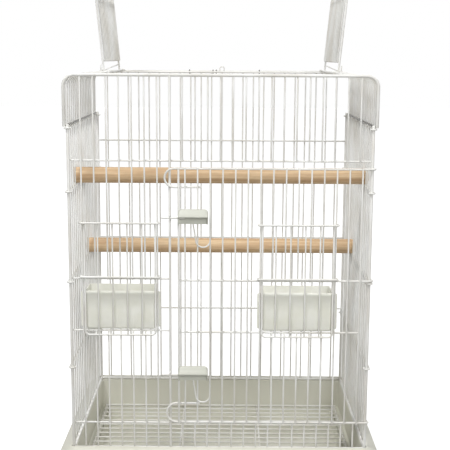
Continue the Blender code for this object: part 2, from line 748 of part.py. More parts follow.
def latch(name, z, parent):
    left = LATCH_POST_X + GRIP_OUT
    axis = pivot(name + "_axis", (left, DOOR_EDGE_Y, z), parent)
    back = DOOR_EDGE_Y - DOOR_WIRE - GAP
    half = GRIP_HEIGHT / 2
    face = back - GRIP_BODY
    profile = [(back, -half), (back, half), (face + 0.003, half), (face, half - 0.003), (face, 0.001)]
    profile += [(face - GRIP_LIP, -0.001), (face - GRIP_LIP, -0.003), (face, -0.0045), (face, -half + 0.002)]
    profile += [(face + 0.002, -half)]
    right = left + GRIP_LENGTH
    ends = [np.array([(x, y, z + dz) for y, dz in profile]) for x in (right, left)]
    bolt_y = back - GRIP_BODY / 2
    bolt_z = z - BOLT_DROP
    inner = left + BOLT_SEAT
    bore = straight((left - 0.002, bolt_y, bolt_z), (inner, bolt_y, bolt_z), BOLT_HALF + GAP, Y)
    add_part(name + "_grip", loft(ends), "white_plastic", axis, cut=[bore])
    tip = left - BOLT_REACH
    bolt = straight((tip, bolt_y, bolt_z), (inner - GAP, bolt_y, bolt_z), BOLT_HALF, Y)
    add_part(name + "_bolt", bolt, "powder_coat", axis)

    clasp = corner(BOLT_HALF) + GAP + BAR
    middle_y = LATCH_POST_Y - LATCH_POST - GAP - BAR - clasp
    prong = bolt_y - BOLT_HALF - 0.002
    path = [np.array((LATCH_POST_X, prong, bolt_z + clasp))]
    path += arc((LATCH_POST_X, middle_y, bolt_z), clasp, 90, -90, 4, Y, Z)
    path += [np.array((LATCH_POST_X, prong, bolt_z - clasp))]
    add_part(name + "_catch", wire(path, BAR, X), "powder_coat")

    spring_y = DOOR_BAR_Y - BAR - GAP - SPRING_WIRE
    top = z - half - GAP
    bar_x = DOOR_FIRST_X - (DOOR_BARS - 3) * BAR_PITCH
    bottom = top - SPRING_DEPTH
    start = left + GRIP_LENGTH / 2
    radius = (bar_x - start) / 2 - 0.002
    bowl = arc((bar_x - radius, spring_y, bottom + radius), radius, 200, 360, 5, X, Z)
    path = [np.array((start, spring_y, top))] + bowl + [np.array((bar_x, spring_y, top - 0.003))]
    add_part(name + "_spring", wire(path, SPRING_WIRE, Y), "powder_coat", parent)


# Perches


def perch(name, pitch, wire_number):
    y = side_y(pitch)
    z = ROOF_Z - SIDE_DROPS[wire_number] + corner(CROSS) + GAP + PERCH_RADIUS
    end = SIDE_WIRE_X + GAP + CROSS + PERCH_PAST
    sides = 12
    rod = straight((-end, y, z), (end, y, z), PERCH_RADIUS * math.cos(math.pi / sides), Z, sides)
    width = corner(BAR) + PERCH_SLOT_PLAY
    depth = SIDE_BAR_X - BAR - PERCH_SLOT_PLAY
    slots = []
    for side in (-1, 1):
        low_x, high_x = sorted((side * depth, side * (end + 0.002)))
        tall = PERCH_RADIUS + 0.002
        slots.append(box((low_x, y - width, z - tall), (high_x, y + width, z + tall)))
    add_part(name, rod, "perch_wood", cut=[join(slots)])


# Base, tray and grille


def base():
    """Double-walled moulding: an inner wall with a ledge, a step, a sloping shoulder and an outer skirt."""
    wall = BASE_WALL
    shoulder_z = BASE_H - SHOULDER_DROP
    slope = SHOULDER_DROP / (SHOULDER_OUT - RIM_FLAT)
    section = [
        (0.0, STEP_Z, BASE_CORNER),
        (0.0, LEDGE_Z, BASE_CORNER),
        (-LEDGE, LEDGE_Z, 0.002),
        (-LEDGE, 0.0, 0.002),
        (-LEDGE + wall, 0.0, 0.003),
        (-LEDGE + wall, LEDGE_Z - wall, 0.003),
        (wall, LEDGE_Z - wall, BASE_CORNER),
        (wall, STEP_Z - wall, BASE_CORNER),
        (RIM_FLAT + 2 * wall, STEP_Z - wall, BASE_CORNER + RIM_FLAT),
        (SHOULDER_OUT - wall, shoulder_z - wall * slope / 2, BASE_CORNER + SHOULDER_OUT - wall),
        (SKIRT_OUT - wall, 0.0, BASE_CORNER + SKIRT_OUT - wall),
        (SKIRT_OUT, 0.0, BASE_CORNER + SKIRT_OUT),
        (SHOULDER_OUT, shoulder_z, BASE_CORNER + SHOULDER_OUT),
        (RIM_FLAT, BASE_H, STEP_CORNER + RIM_FLAT),
        (STEP_OUT, BASE_H, STEP_CORNER),
        (STEP_OUT, STEP_Z, STEP_CORNER),
    ]
    loops = [rounded_loop(INNER_X + out, INNER_Y + out, radius, z) for out, z, radius in section]
    shell = ring(loops)
    inside_x = INNER_X - LEDGE
    front = -BASE_FRONT + wall / 2
    floor = box((-inside_x - wall / 2, front, 0.0), (inside_x + wall / 2, INNER_Y - LEDGE + wall / 2, wall))
    slot_x = INNER_X - GAP
    slot = box((-slot_x, -BASE_FRONT - 0.01, wall), (slot_x, -INNER_Y + LEDGE + wall, SLOT_TOP))
    add_part("base", shell, "grey_plastic", weld=[floor], cut=[slot])


def tray():
    axis = pivot("tray_axis", (0.0, 0.0, 0.0))
    low = BASE_WALL + GAP
    high = low + TRAY_H
    half_x = INNER_X - LEDGE - TRAY_PLAY
    rear_y = INNER_Y - LEDGE - TRAY_PLAY
    front_y = -BASE_FRONT + TRAY_FRONT - 0.001
    half_y = (rear_y - front_y) / 2
    middle = (0.0, (rear_y + front_y) / 2)
    outer = [rounded_loop(half_x, half_y, 0.006, z, 2, middle) for z in (low, high)]
    inner = []
    for z in (low + TRAY_WALL, high + 0.002):
        inner.append(rounded_loop(half_x - TRAY_WALL, half_y - TRAY_WALL, 0.004, z, 2, middle))
    wide = INNER_X - 2 * GAP
    face = -BASE_FRONT + 0.0005
    panel = box((-wide, face, low), (wide, face + TRAY_FRONT, high))
    middle_z = (low + high) / 2
    grip = []
    for y, grow in ((face - 0.001, 0.0), (face + TRAY_FRONT * 0.6, -0.004)):
        half_w = PULL_WIDTH / 2 + grow
        half_h = PULL_HEIGHT / 2 + grow / 2
        outline = ((half_w, -half_h), (half_w, half_h), (-half_w, half_h), (-half_w, -half_h))
        grip.append(np.array([(x, y, middle_z + dz) for x, dz in outline]))
    add_part("tray", loft(outer), "grey_plastic", axis, weld=[panel], cut=[loft(inner), loft(grip[::-1])])


def grille():
    axis = pivot("grille_axis", (0.0, 0.0, 0.0))
    z = LEDGE_Z + GAP + GRILLE_FRAME
    half_x = INNER_X - GRILLE_PLAY - corner(GRILLE_FRAME)
    half_y = INNER_Y - GRILLE_PLAY - corner(GRILLE_FRAME)
    radius = corner(GRILLE_FRAME, 4)
    loops = []
    for k in range(4):
        out = GRILLE_FRAME * (1, 1, -1, -1)[k]
        dz = GRILLE_FRAME * (-1, 1, 1, -1)[k]
        loops.append(rounded_loop(half_x + out, half_y + out, 0.004 + out + radius, z + dz, 2))
    tab_y = -BASE_FRONT + 0.004
    half_tab = GRILLE_TAB / 2
    tab = [(half_tab, -half_y), (half_tab, tab_y + 0.004), (half_tab - 0.004, tab_y)]
    path = [np.array((x, y, z)) for x, y in tab]
    path += [point * np.array([-1.0, 1.0, 1.0]) for point in reversed(path)]
    add_part("grille_frame", ring(loops), "powder_coat", axis, weld=[wire(path, CROSS, Z)])

    bar_z = z + GRILLE_FRAME + GAP + BAR
    end = half_x + GRILLE_FRAME
    bars = []
    for i in range(GRILLE_BARS):
        y = (i - (GRILLE_BARS - 1) / 2) * GRILLE_PITCH
        bars.append(straight((-end, y, bar_z), (end, y, bar_z), BAR, Z))
    cross_z = bar_z - BAR - CROSS
    cross_y = half_y - GRILLE_FRAME - GAP
    wires = []
    for x in (-GRILLE_CROSS_X, GRILLE_CROSS_X):
        wires.append(straight((x, -cross_y, cross_z), (x, cross_y, cross_z), CROSS, Z))
    add_part("grille_bars", join(bars), "powder_coat", axis, weld=[join(wires)])


def main():
    clear_scene()
    corner_posts()
    bottom_rails()
    front_wall()
    rear_wall()
    side_walls()
    roof_arches()
    hood_sides()
    roof_wires()
    roof_door("roof_door_left", -1, LEFT_LEAN)
    roof_door("roof_door_right", 1, RIGHT_LEAN)
    hinge = pivot("main_door_axis", (HALF_W, FRONT_Y, 0.0))
    main_door(hinge)
    left_x = (front_x(GUIDES[0]), front_x(GUIDES[1]))
    door_x = tuple(DOOR_FIRST_X - j * BAR_PITCH for j in DOOR_GUIDES)
    feeder_door("left_feeder_door", *left_x, LEFT_Y, LEFT_TOP_Z, LEFT_LOW_Z, CROSS, None)
    feeder_door("right_feeder_door", *door_x, DOOR_BAR_Y, DOOR_MID_Z, DOOR_SHELF_Z, DOOR_WIRE, hinge)
    cup("left_cup", *left_x, LEFT_Y, LEFT_LOW_Z, CROSS, None)
    cup("right_cup", *door_x, DOOR_BAR_Y, DOOR_SHELF_Z, DOOR_WIRE, hinge)
    latch("upper_latch", ROOF_Z - UPPER_LATCH_DROP, hinge)
    latch("lower_latch", BASE_H + LOWER_LATCH_RISE, hinge)
    perch("front_perch", FRONT_PERCH_BAR, FRONT_PERCH_WIRE)
    perch("rear_perch", REAR_PERCH_BAR, REAR_PERCH_WIRE)
    base()
    tray()
    grille()


main()
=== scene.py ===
"""Dressed model of a wire parrot cage on a moulded base.

Units are metres, +Z up, the front at -Y and the origin under the middle of the base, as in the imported
model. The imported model's angular wires are replaced by round ones with domed ends and welds, in the
same places.
"""

import logging
import math
from dataclasses import dataclass
from enum import Enum
from typing import Sequence

import bpy
import numpy as np
from mathutils import Matrix

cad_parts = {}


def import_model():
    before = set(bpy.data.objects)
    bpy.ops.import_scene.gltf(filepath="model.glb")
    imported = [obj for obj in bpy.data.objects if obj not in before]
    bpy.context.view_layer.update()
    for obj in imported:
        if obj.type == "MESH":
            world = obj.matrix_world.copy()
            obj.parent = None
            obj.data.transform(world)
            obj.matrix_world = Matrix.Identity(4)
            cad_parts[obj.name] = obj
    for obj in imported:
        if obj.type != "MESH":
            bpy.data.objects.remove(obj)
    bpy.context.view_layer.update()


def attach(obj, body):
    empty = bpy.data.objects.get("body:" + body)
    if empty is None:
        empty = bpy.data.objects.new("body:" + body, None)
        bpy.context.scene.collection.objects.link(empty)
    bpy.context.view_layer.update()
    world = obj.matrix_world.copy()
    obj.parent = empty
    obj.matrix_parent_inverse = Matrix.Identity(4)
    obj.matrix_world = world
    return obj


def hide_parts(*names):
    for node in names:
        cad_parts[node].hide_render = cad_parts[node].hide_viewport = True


LOG = logging.getLogger("parrot_cage")
X_AXIS = np.array([1.0, 0.0, 0.0])
Y_AXIS = np.array([0.0, 1.0, 0.0])
Z_AXIS = np.array([0.0, 0.0, 1.0])
MIRROR = np.array([-1.0, 1.0, 1.0])
Values = float | Sequence[float] | np.ndarray  # one number or many


# Finishes


def linear(code: str) -> tuple[float, float, float, float]:
    """Turn an sRGB hex colour into the linear colour that the nodes take.

    Args:
        code: Six hex digits after a hash mark.

    Returns:
        Linear red, green, blue and an alpha of 1.
    """
    raw = np.array([int(code[i : i + 2], 16) for i in (1, 3, 5)]) / 255.0
    value = np.where(raw <= 0.04045, raw / 12.92, ((raw + 0.055) / 1.055) ** 2.4)
    return (float(value[0]), float(value[1]), float(value[2]), 1.0)


def add_node(tree: bpy.types.NodeTree, kind: str, settings: dict, links: dict) -> bpy.types.Node:
    """Add a node with its settings and the links that feed it.

    Args:
        tree: The material's node tree.
        kind: The node's Blender type name.
        settings: Socket names or node attributes with the values they take.
        links: Input socket names with the output sockets that feed them.

    Returns:
        The new node.
    """
    node = tree.nodes.new(kind)
    for key, value in settings.items():
        if isinstance(key, str) and hasattr(node, key):
            setattr(node, key, value)
        else:
            node.inputs[key].default_value = value
    for key, source in links.items():
        tree.links.new(source, node.inputs[key])
    return node


def add_relief(
    tree: bpy.types.NodeTree,
    shader: bpy.types.Node,
    place: bpy.types.NodeSocket,
    size_mm: float,
    detail: float,
    strength: float,
    height: float,
) -> bpy.types.NodeSocket:
    """Give a surface a fine uneven relief, as noise that bends its normals.

    Args:
        tree: The material's node tree.
        shader: Its Principled shader.
        place: The coordinates that the relief follows.
        size_mm: From crest to crest.
        detail: How many finer layers the noise has.
        strength: The share of the relief that the light shows.
        height: From trough to crest.

    Returns:
        The noise's socket.
    """
    settings = {"Scale": 1000.0 / size_mm, "Detail": detail}
    noise = add_node(tree, "ShaderNodeTexNoise", settings, {"Vector": place}).outputs["Fac"]
    bump = add_node(tree, "ShaderNodeBump", {"Strength": strength, "Distance": height}, {"Height": noise})
    tree.links.new(bump.outputs["Normal"], shader.inputs["Normal"])
    return noise


@dataclass(frozen=True)
class Finish:
    """A surface finish: its record slot, its two colours and its Principled values."""

    name: str
    slot: str
    colour: str
    deep_colour: str
    roughness: float
    ior: float = 1.5
    patch_mm: float = 25.0

    def blended(
        self,
        tree: bpy.types.NodeTree,
        place: bpy.types.NodeSocket,
        ends: tuple[float, float] = (0.35, 0.70),
        warp: float = 0.0,
    ) -> bpy.types.NodeSocket:
        """Blend the finish's two colours in soft patches, by a noise.

        Args:
            tree: The material's node tree.
            place: The coordinates that the patches follow.
            ends: The noise's values below and above which each colour is pure.
            warp: How far the patches are bent out of shape.

        Returns:
            The blended colour's socket.
        """
        settings = {"Scale": 1000.0 / self.patch_mm, "Detail": 3.0, "Distortion": warp}
        noise = add_node(tree, "ShaderNodeTexNoise", settings, {"Vector": place})
        ramp = add_node(tree, "ShaderNodeValToRGB", {}, {"Fac": noise.outputs["Fac"]})
        for element, position, code in zip(ramp.color_ramp.elements, ends, (self.colour, self.deep_colour)):
            element.position = position
            element.color = linear(code)
        return ramp.outputs["Color"]

    def dress(self, tree: bpy.types.NodeTree, shader: bpy.types.Node, place: bpy.types.NodeSocket) -> None:
        """Add the patches of colour, which every finish has."""
        tree.links.new(self.blended(tree, place), shader.inputs["Base Color"])

    def material(self) -> bpy.types.Material:
        """Make this finish's material, or find it where it is made already.

        Returns:
            The material.
        """
        found = bpy.data.materials.get(self.name)
        if found:
            return found
        made = bpy.data.materials.new(self.name)
        made.use_nodes = True
        tree = made.node_tree
        shader = tree.nodes["Principled BSDF"]
        shader.inputs["Base Color"].default_value = linear(self.colour)
        shader.inputs["Roughness"].default_value = self.roughness
        shader.inputs["IOR"].default_value = self.ior
        place = add_node(tree, "ShaderNodeTexCoord", {}, {}).outputs["Object"]
        self.dress(tree, shader, place)
        return made


@dataclass(frozen=True)
class PowderCoat(Finish):
    """Polyester powder coat, baked on steel wire: a soft gloss with the fine orange peel of fused powder."""

    patch_mm: float = 60.0  # the coat yellows unevenly over a wall's height
    peel_mm: float = 1.2  # a real peel is about 1 mm from crest to crest

    def dress(self, tree: bpy.types.NodeTree, shader: bpy.types.Node, place: bpy.types.NodeSocket) -> None:
        """Add the patches of colour and the orange peel."""
        super().dress(tree, shader, place)
        add_relief(tree, shader, place, self.peel_mm, detail=1.0, strength=0.25, height=0.0002)


@dataclass(frozen=True)
class MouldedPlastic(Finish):
    """Injection-moulded polypropylene: satin from the mould's spark-eroded face, with faint flow marks."""

    patch_mm: float = 120.0
    grain_mm: float = 0.9  # a real texture is about 0.2 mm, drawn coarser so that it shows

    def dress(self, tree: bpy.types.NodeTree, shader: bpy.types.Node, place: bpy.types.NodeSocket) -> None:
        """Add the flow marks and the mould's grain."""
        super().dress(tree, shader, place)
        add_relief(tree, shader, place, self.grain_mm, detail=2.0, strength=0.2, height=0.0001)


@dataclass(frozen=True)
class ClearishPlastic(Finish):
    """Unpigmented polypropylene: milky, so that some light passes but shapes behind it blur."""

    passes: float = 0.12

    def dress(self, tree: bpy.types.NodeTree, shader: bpy.types.Node, place: bpy.types.NodeSocket) -> None:
        """Let part of the light through and cloud the rest."""
        super().dress(tree, shader, place)
        shader.inputs["Transmission Weight"].default_value = self.passes


@dataclass(frozen=True)
class TurnedPine(Finish):
    """Turned pine dowel, sanded and left bare: long soft grain along the rod with fine darker fibres."""

    patch_mm: float = 5.0  # width of the growth rings where they are cut along the rod
    fibre_mm: float = 0.7
    shrink: float = 0.035  # width of a grain line as a share of its length

    def dress(self, tree: bpy.types.NodeTree, shader: bpy.types.Node, place: bpy.types.NodeSocket) -> None:
        """Add the grain, the fibres, which darken it, and the sanded surface.

        Args:
            tree: The material's node tree.
            shader: Its Principled shader.
            place: The piece's own coordinates.
        """
        long = add_node(tree, "ShaderNodeMapping", {"Scale": (self.shrink, 1.0, 1.0)}, {"Vector": place})
        along = long.outputs["Vector"]
        rings = self.blended(tree, along, ends=(0.32, 0.68), warp=0.6)
        fibres = add_relief(tree, shader, along, self.fibre_mm, detail=2.0, strength=0.35, height=0.0003)
        brightness = {"From Min": 0.3, "From Max": 0.75, "To Min": 1.05, "To Max": 0.86}
        shade = add_node(tree, "ShaderNodeMapRange", brightness, {"Value": fibres})
        links = {0: rings, "Scale": shade.outputs["Result"]}
        grained = add_node(tree, "ShaderNodeVectorMath", {"operation": "SCALE"}, links)
        tree.links.new(grained.outputs["Vector"], shader.inputs["Base Color"])


class Coat(Enum):
    """The finishes that the cage's pieces take."""

    WIRE = PowderCoat("powder_coated_wire", "powder_coat", "#f0f0ed", "#dcd9d1", 0.34)
    # Painted shade: the hood's foot wires and the ties round the rear arch are coloured dark, standing in for
    # the shade in the gaps where the hood's foot lies against the walls' top wires and where the rear bars
    # meet the rear arch.
    SHADE_PAINTED_WIRE = PowderCoat("rubbed_wire", "powder_coat", "#3d3934", "#746f67", 0.40)
    BASE = MouldedPlastic("grey_polypropylene", "grey_plastic", "#dbdace", "#d3d2c4", 0.46, 1.49)
    GRIP = MouldedPlastic("white_polypropylene", "white_plastic", "#cfd0c6", "#c6c7bb", 0.45, 1.49)
    CUP = ClearishPlastic("milky_polypropylene", "cup_plastic", "#f7f7ee", "#f0f0e3", 0.36, 1.49)
    PERCH = TurnedPine("pine_dowel", "perch_wood", "#e9cca4", "#cda881", 0.62)


# Surfaces


def new_object(name: str, data: bpy.types.ID) -> bpy.types.Object:
    """Add an object to the scene.

    Args:
        name: Its name.
        data: Its mesh, lamp or camera.

    Returns:
        The object.
    """
    made = bpy.data.objects.new(name, data)
    bpy.context.scene.collection.objects.link(made)
    return made


def soften(mesh: bpy.types.Mesh, degrees: float = 40.0) -> None:
    """Shade a mesh smooth, except over the edges that turn more than these degrees."""
    mesh.shade_smooth()
    mesh.set_sharp_from_angle(angle=math.radians(degrees))


@dataclass
class Surface:
    """Points and the faces between them."""

    points: np.ndarray
    faces: list[list[int]]

    def mirrored(self) -> "Surface":
        """Return the surface on the other side of the cage's middle plane, still facing outwards."""
        return Surface(self.points * MIRROR, [face[::-1] for face in self.faces])

    def mesh(self, name: str) -> bpy.types.Mesh:
        """Put the surface into a new mesh.

        Args:
            name: The mesh's name.

        Returns:
            The mesh.
        """
        made = bpy.data.meshes.new(name)
        made.from_pydata(self.points.tolist(), [], self.faces)
        return made


def as_points(x: Values, y: Values, z: Values) -> np.ndarray:
    """Put x, y and z together as points. A single number or row stands for all that it has to match."""
    return np.stack(np.broadcast_arrays(x, y, z), axis=-1)


def full_turn(steps: int) -> np.ndarray:
    """Return the angles of even steps round a circle."""
    return np.linspace(0.0, 2.0 * math.pi, steps, endpoint=False)


def centred(count: int, pitch: float) -> np.ndarray:
    """Return evenly spaced places on both sides of zero."""
    return (np.arange(count) - (count - 1) / 2.0) * pitch


def whole(left: np.ndarray) -> np.ndarray:
    """Return a path that goes on from its end as its own mirror image in the middle plane."""
    return np.vstack([left, left[::-1] * MIRROR])


def join(surfaces: Sequence[Surface]) -> Surface:
    """Put separate surfaces into one.

    Args:
        surfaces: The surfaces, whose points keep their order.

    Returns:
        One surface that holds them all.
    """
    faces: list[list[int]] = []
    start = 0
    for surface in surfaces:
        faces.extend([index + start for index in face] for face in surface.faces)
        start += len(surface.points)
    return Surface(np.concatenate([surface.points for surface in surfaces]), faces)


def copies(surface: Surface, offsets: Values) -> Surface:
    """Repeat a surface at each offset.

    Args:
        surface: The surface to repeat.
        offsets: One row of x, y and z for each copy.

    Returns:
        The copies as one surface.
    """
    offsets = np.asarray(offsets, float).reshape(-1, 3)
    points = (surface.points[None, :, :] + offsets[:, None, :]).reshape(-1, 3)
    count = len(surface.points)
    faces = [[index + i * count for index in face] for i in range(len(offsets)) for face in surface.faces]
    return Surface(points, faces)


def grid_faces(rings: int, around: int, closed: bool = False) -> list[list[int]]:
    """Faces between rings of points, each ring joined to the next.

    Args:
        rings: How many rings there are.
        around: Points in each ring, which closes on itself.
        closed: Whether the last ring is joined to the first.

    Returns:
        The faces, which face outwards where the rings run anticlockwise as seen from the end they go to.
    """
    rows = rings if closed else rings - 1
    ring, spot = np.meshgrid(np.arange(rows), np.arange(around), indexing="ij")
    here = ring * around
    after = (ring + 1) % rings * around
    beside = (spot + 1) % around
    corners = [here + spot, here + beside, after + beside, after + spot]
    return np.stack(corners, axis=-1).reshape(-1, 4).tolist()


def loft(rings: np.ndarray) -> Surface:
    """Skin a stack of equal rings and close both ends with one flat face.

    Args:
        rings: Points as an array of rings by points by 3.

    Returns:
        A closed surface.
    """
    count, around, _ = rings.shape
    faces = grid_faces(count, around)
    faces.append(list(range(around))[::-1])
    faces.append(list(range((count - 1) * around, count * around)))
    return Surface(rings.reshape(-1, 3), faces)


def torus_like(rings: np.ndarray) -> Surface:
    """Skin equal rings round a closed section, so that the surface has a hole through it.

    Args:
        rings: Points as an array of section points by ring points by 3.

    Returns:
        A closed surface.
    """
    count, around, _ = rings.shape
    return Surface(rings.reshape(-1, 3), grid_faces(count, around, closed=True))


DOME = np.radians([0.0, 35.0, 65.0])  # the rings of a wire's domed end
DOME_LENGTH = 0.6  # in wire radii
THICK_SIDES = 16  # faces round the thick wires
THIN_SIDES = 12  # and round the others
SLANT = np.array([0.53, 0.27, 0.80])  # no wire takes this direction, from which its faces are counted


def tube(path: np.ndarray, radius: float, sides: int = THIN_SIDES) -> Surface:
    """Round wire with domed ends along a path.

    A point is c(s) + r(s)(cos a u(s) + sin a v(s)), where c is the path, r the wire's radius, which falls to
    nothing over the domed ends, and u and v are square to the path.

    Args:
        path: Points of the wire's centre line.
        radius: The wire's radius.
        sides: Faces round the wire.

    Returns:
        A closed surface.
    """
    path = np.asarray(path, float)
    steps = np.diff(path, axis=0)
    steps /= np.linalg.norm(steps, axis=1, keepdims=True)
    tangents = np.vstack([steps[:1], steps[:-1] + steps[1:], steps[-1:]])
    tangents /= np.linalg.norm(tangents, axis=1, keepdims=True)
    inset = DOME_LENGTH * radius
    inner = path.copy()
    inner[0] += inset * steps[0]
    inner[-1] -= inset * steps[-1]
    rise = inset * np.cos(DOME)[:, None]
    first = inner[0] - rise * steps[0]
    last = (inner[-1] + rise * steps[-1])[::-1]
    centres = np.vstack([first, inner, last])
    start_run = np.repeat(steps[:1], len(DOME), axis=0)
    end_run = np.repeat(steps[-1:], len(DOME), axis=0)
    tangents = np.vstack([start_run, tangents, end_run])
    shrink = np.concatenate([np.sin(DOME), np.ones(len(inner)), np.sin(DOME)[::-1]])
    u = np.cross(tangents, SLANT)
    u /= np.linalg.norm(u, axis=1, keepdims=True)
    v = np.cross(tangents, u)
    turn = full_turn(sides)[None, :, None]
    around = np.cos(turn) * u[:, None, :] + np.sin(turn) * v[:, None, :]
    rings = centres[:, None, :] + radius * shrink[:, None, None] * around
    # The first and last rings have no width, so one point stands for each.
    count = len(rings) - 2
    points = np.vstack([rings[1:-1].reshape(-1, 3), centres[:1], centres[-1:]])
    near = np.arange(sides)
    beside = (near + 1) % sides
    far = (count - 1) * sides
    start = as_points(count * sides, beside, near)
    end = as_points(count * sides + 1, far + near, far + beside)
    return Surface(points, grid_faces(count, sides) + start.tolist() + end.tolist())


def line(start: Sequence[float], end: Sequence[float], radius: float, sides: int = THIN_SIDES) -> Surface:
    """A straight wire between two points."""
    return tube(np.array([start, end]), radius, sides)


def level(x_from: float, x_to: float, y: float, z: float, radius: float) -> Surface:
    """A straight wire along X."""
    return line((x_from, y, z), (x_to, y, z), radius)


def lengthways(x: float, reach: float, z: float, radius: float, sides: int = THIN_SIDES) -> Surface:
    """A straight wire along Y, which reaches as far to the front as to the rear."""
    return line((x, -reach, z), (x, reach, z), radius, sides)


def uprights(x: Values, y: float, low: float, high: float, radius: float) -> Surface:
    """Upright bars that differ only in x, from one height to another."""
    return copies(line((0.0, y, low), (0.0, y, high), radius), as_points(x, 0.0, 0.0))


def hoop(radius: float, thick: float) -> Surface:
    """A closed round hoop about the X axis: a small circle carried round a large one.

    Args:
        radius: The large circle's radius.
        thick: The small circle's radius.

    Returns:
        The hoop, with its centre at the origin.
    """
    spin = full_turn(24)
    turn = full_turn(10)[:, None]
    out = radius + thick * np.cos(turn)
    return torus_like(as_points(thick * np.sin(turn), out * np.cos(spin), out * np.sin(spin)))


WELD = 0.0016  # a weld bead's radius along the wires
THIN_WELD = 0.0012  # and across them
DEEP_WELD = 0.0013  # where they lie a little further apart
BEAD_RINGS = np.radians([-50.0, 0.0, 50.0])  # counted from a bead's middle
BEAD_SIDES = 8


def beads(centres: np.ndarray, flat: float, axis: int, radius: float = WELD) -> Surface:
    """Small weld beads: ellipsoids x = r cos t cos a, y = r cos t sin a, z = f sin t about each centre.

    Args:
        centres: One row for each bead.
        flat: The bead's radius across the two wires.
        axis: The number of the axis across the wires.
        radius: The bead's radius along the wires.

    Returns:
        The beads as one surface.
    """
    tilt = BEAD_RINGS[:, None]
    spin = full_turn(BEAD_SIDES)
    wide = radius * np.cos(tilt)
    bead = loft(as_points(wide * np.cos(spin), wide * np.sin(spin), flat * np.sin(tilt)))
    turned = np.roll(bead.points, axis + 1, axis=1)
    return copies(Surface(turned, bead.faces), centres)


def arc(
    middle: Sequence[float],
    radius: float,
    first: float,
    last: float,
    steps: int,
    u: np.ndarray,
    v: np.ndarray,
) -> np.ndarray:
    """Points m + r(cos a u + sin a v) as the angle a goes from first to last.

    Args:
        middle: The bend's centre.
        radius: The bend's radius.
        first: The first angle in degrees.
        last: The last angle in degrees.
        steps: How many steps there are between them.
        u: The direction of angle zero.
        v: The direction of a right angle.

    Returns:
        The points, one a row.
    """
    angle = np.radians(np.linspace(first, last, steps + 1))[:, None]
    return np.asarray(middle, float) + radius * (np.cos(angle) * u + np.sin(angle) * v)


LEAST_CORNER = 0.0012  # the tightest corner of a moulded ring


def rounded_rings(
    outs: np.ndarray, heights: np.ndarray, half: Sequence[Values], radii: Values, steps: int = 8
) -> np.ndarray:
    """Rounded rectangles stacked along a profile: each is grown by `out` and stands at its height.

    A corner's points are (sx(hx - r) + r cos a, sy(hy - r) + r sin a) over its quarter turn.

    Args:
        outs: How far each ring stands out from the starting rectangle.
        heights: Each ring's height.
        half: Half the starting rectangle's length and width, as one number for all the rings or one each.
        radii: Each ring's corner radius, or the starting rectangle's, which grows with the ring.
        steps: How many steps there are in a corner.

    Returns:
        Points as an array of rings by points by 3, anticlockwise from above.
    """
    quarter = np.arange(4)[:, None]
    angle = (quarter + np.arange(steps + 1)[None, :] / steps) * (math.pi / 2.0)
    sign_x = np.array([1.0, -1.0, -1.0, 1.0])[:, None]
    sign_y = np.array([1.0, 1.0, -1.0, -1.0])[:, None]
    grown = radii if np.ndim(radii) else radii + outs
    radius = np.maximum(grown, LEAST_CORNER)[:, None, None]
    x = sign_x * ((half[0] + outs)[:, None, None] - radius) + radius * np.cos(angle)
    y = sign_y * ((half[1] + outs)[:, None, None] - radius) + radius * np.sin(angle)
    return as_points(x, y, heights[:, None, None]).reshape(len(outs), -1, 3)


def facing_front(rings: np.ndarray, x: float, z: float) -> Surface:
    """Skin rings that were stacked upwards as a form that is stacked from the front to the rear.

    Args:
        rings: Points as an array of rings by points by 3, whose heights become their places along Y.
        x: The form's middle.
        z: Its middle's height.

    Returns:
        A closed surface.
    """
    turned = rings[..., [0, 2, 1]] + np.array([x, 0.0, z])
    return loft(turned[:, ::-1, :])


PLATE_CORNER = 0.002
NARROW_CORNER = 0.6  # a narrow plate's corner, as a share of half its width


def plate(low: Sequence[float], high: Sequence[float], ease: float = 0.0005) -> Surface:
    """A flat plate with eased edges along X and Z, as rings stacked through its thickness in Y.

    Args:
        low: The plate's lowest corner.
        high: Its highest corner.
        ease: How far its edges are eased.

    Returns:
        A closed surface.
    """
    grow = np.array([-ease, 0.0, 0.0, -ease])
    y = np.array([low[1], low[1] + ease, high[1] - ease, high[1]])
    half = ((high[0] - low[0]) / 2.0, (high[2] - low[2]) / 2.0)
    rings = rounded_rings(grow, y, half, min(PLATE_CORNER, half[0] * NARROW_CORNER))
    return facing_front(rings, (low[0] + high[0]) / 2.0, (low[2] + high[2]) / 2.0)


def prism(plan: np.ndarray, low: float, high: float) -> Surface:
    """An upright block over a plan that runs anticlockwise as seen from above."""
    return loft(as_points(plan[:, 0], plan[:, 1], np.array([[low], [high]])))


def box(low: Sequence[float], high: Sequence[float]) -> Surface:
    """A plain block between two corners, for cutting and joining."""
    (ax, ay, az), (bx, by, bz) = low, high
    return prism(np.array([[ax, ay], [bx, ay], [bx, by], [ax, by]]), az, bz)


ONE_SPOT = 1e-7  # points that are closer than this are one


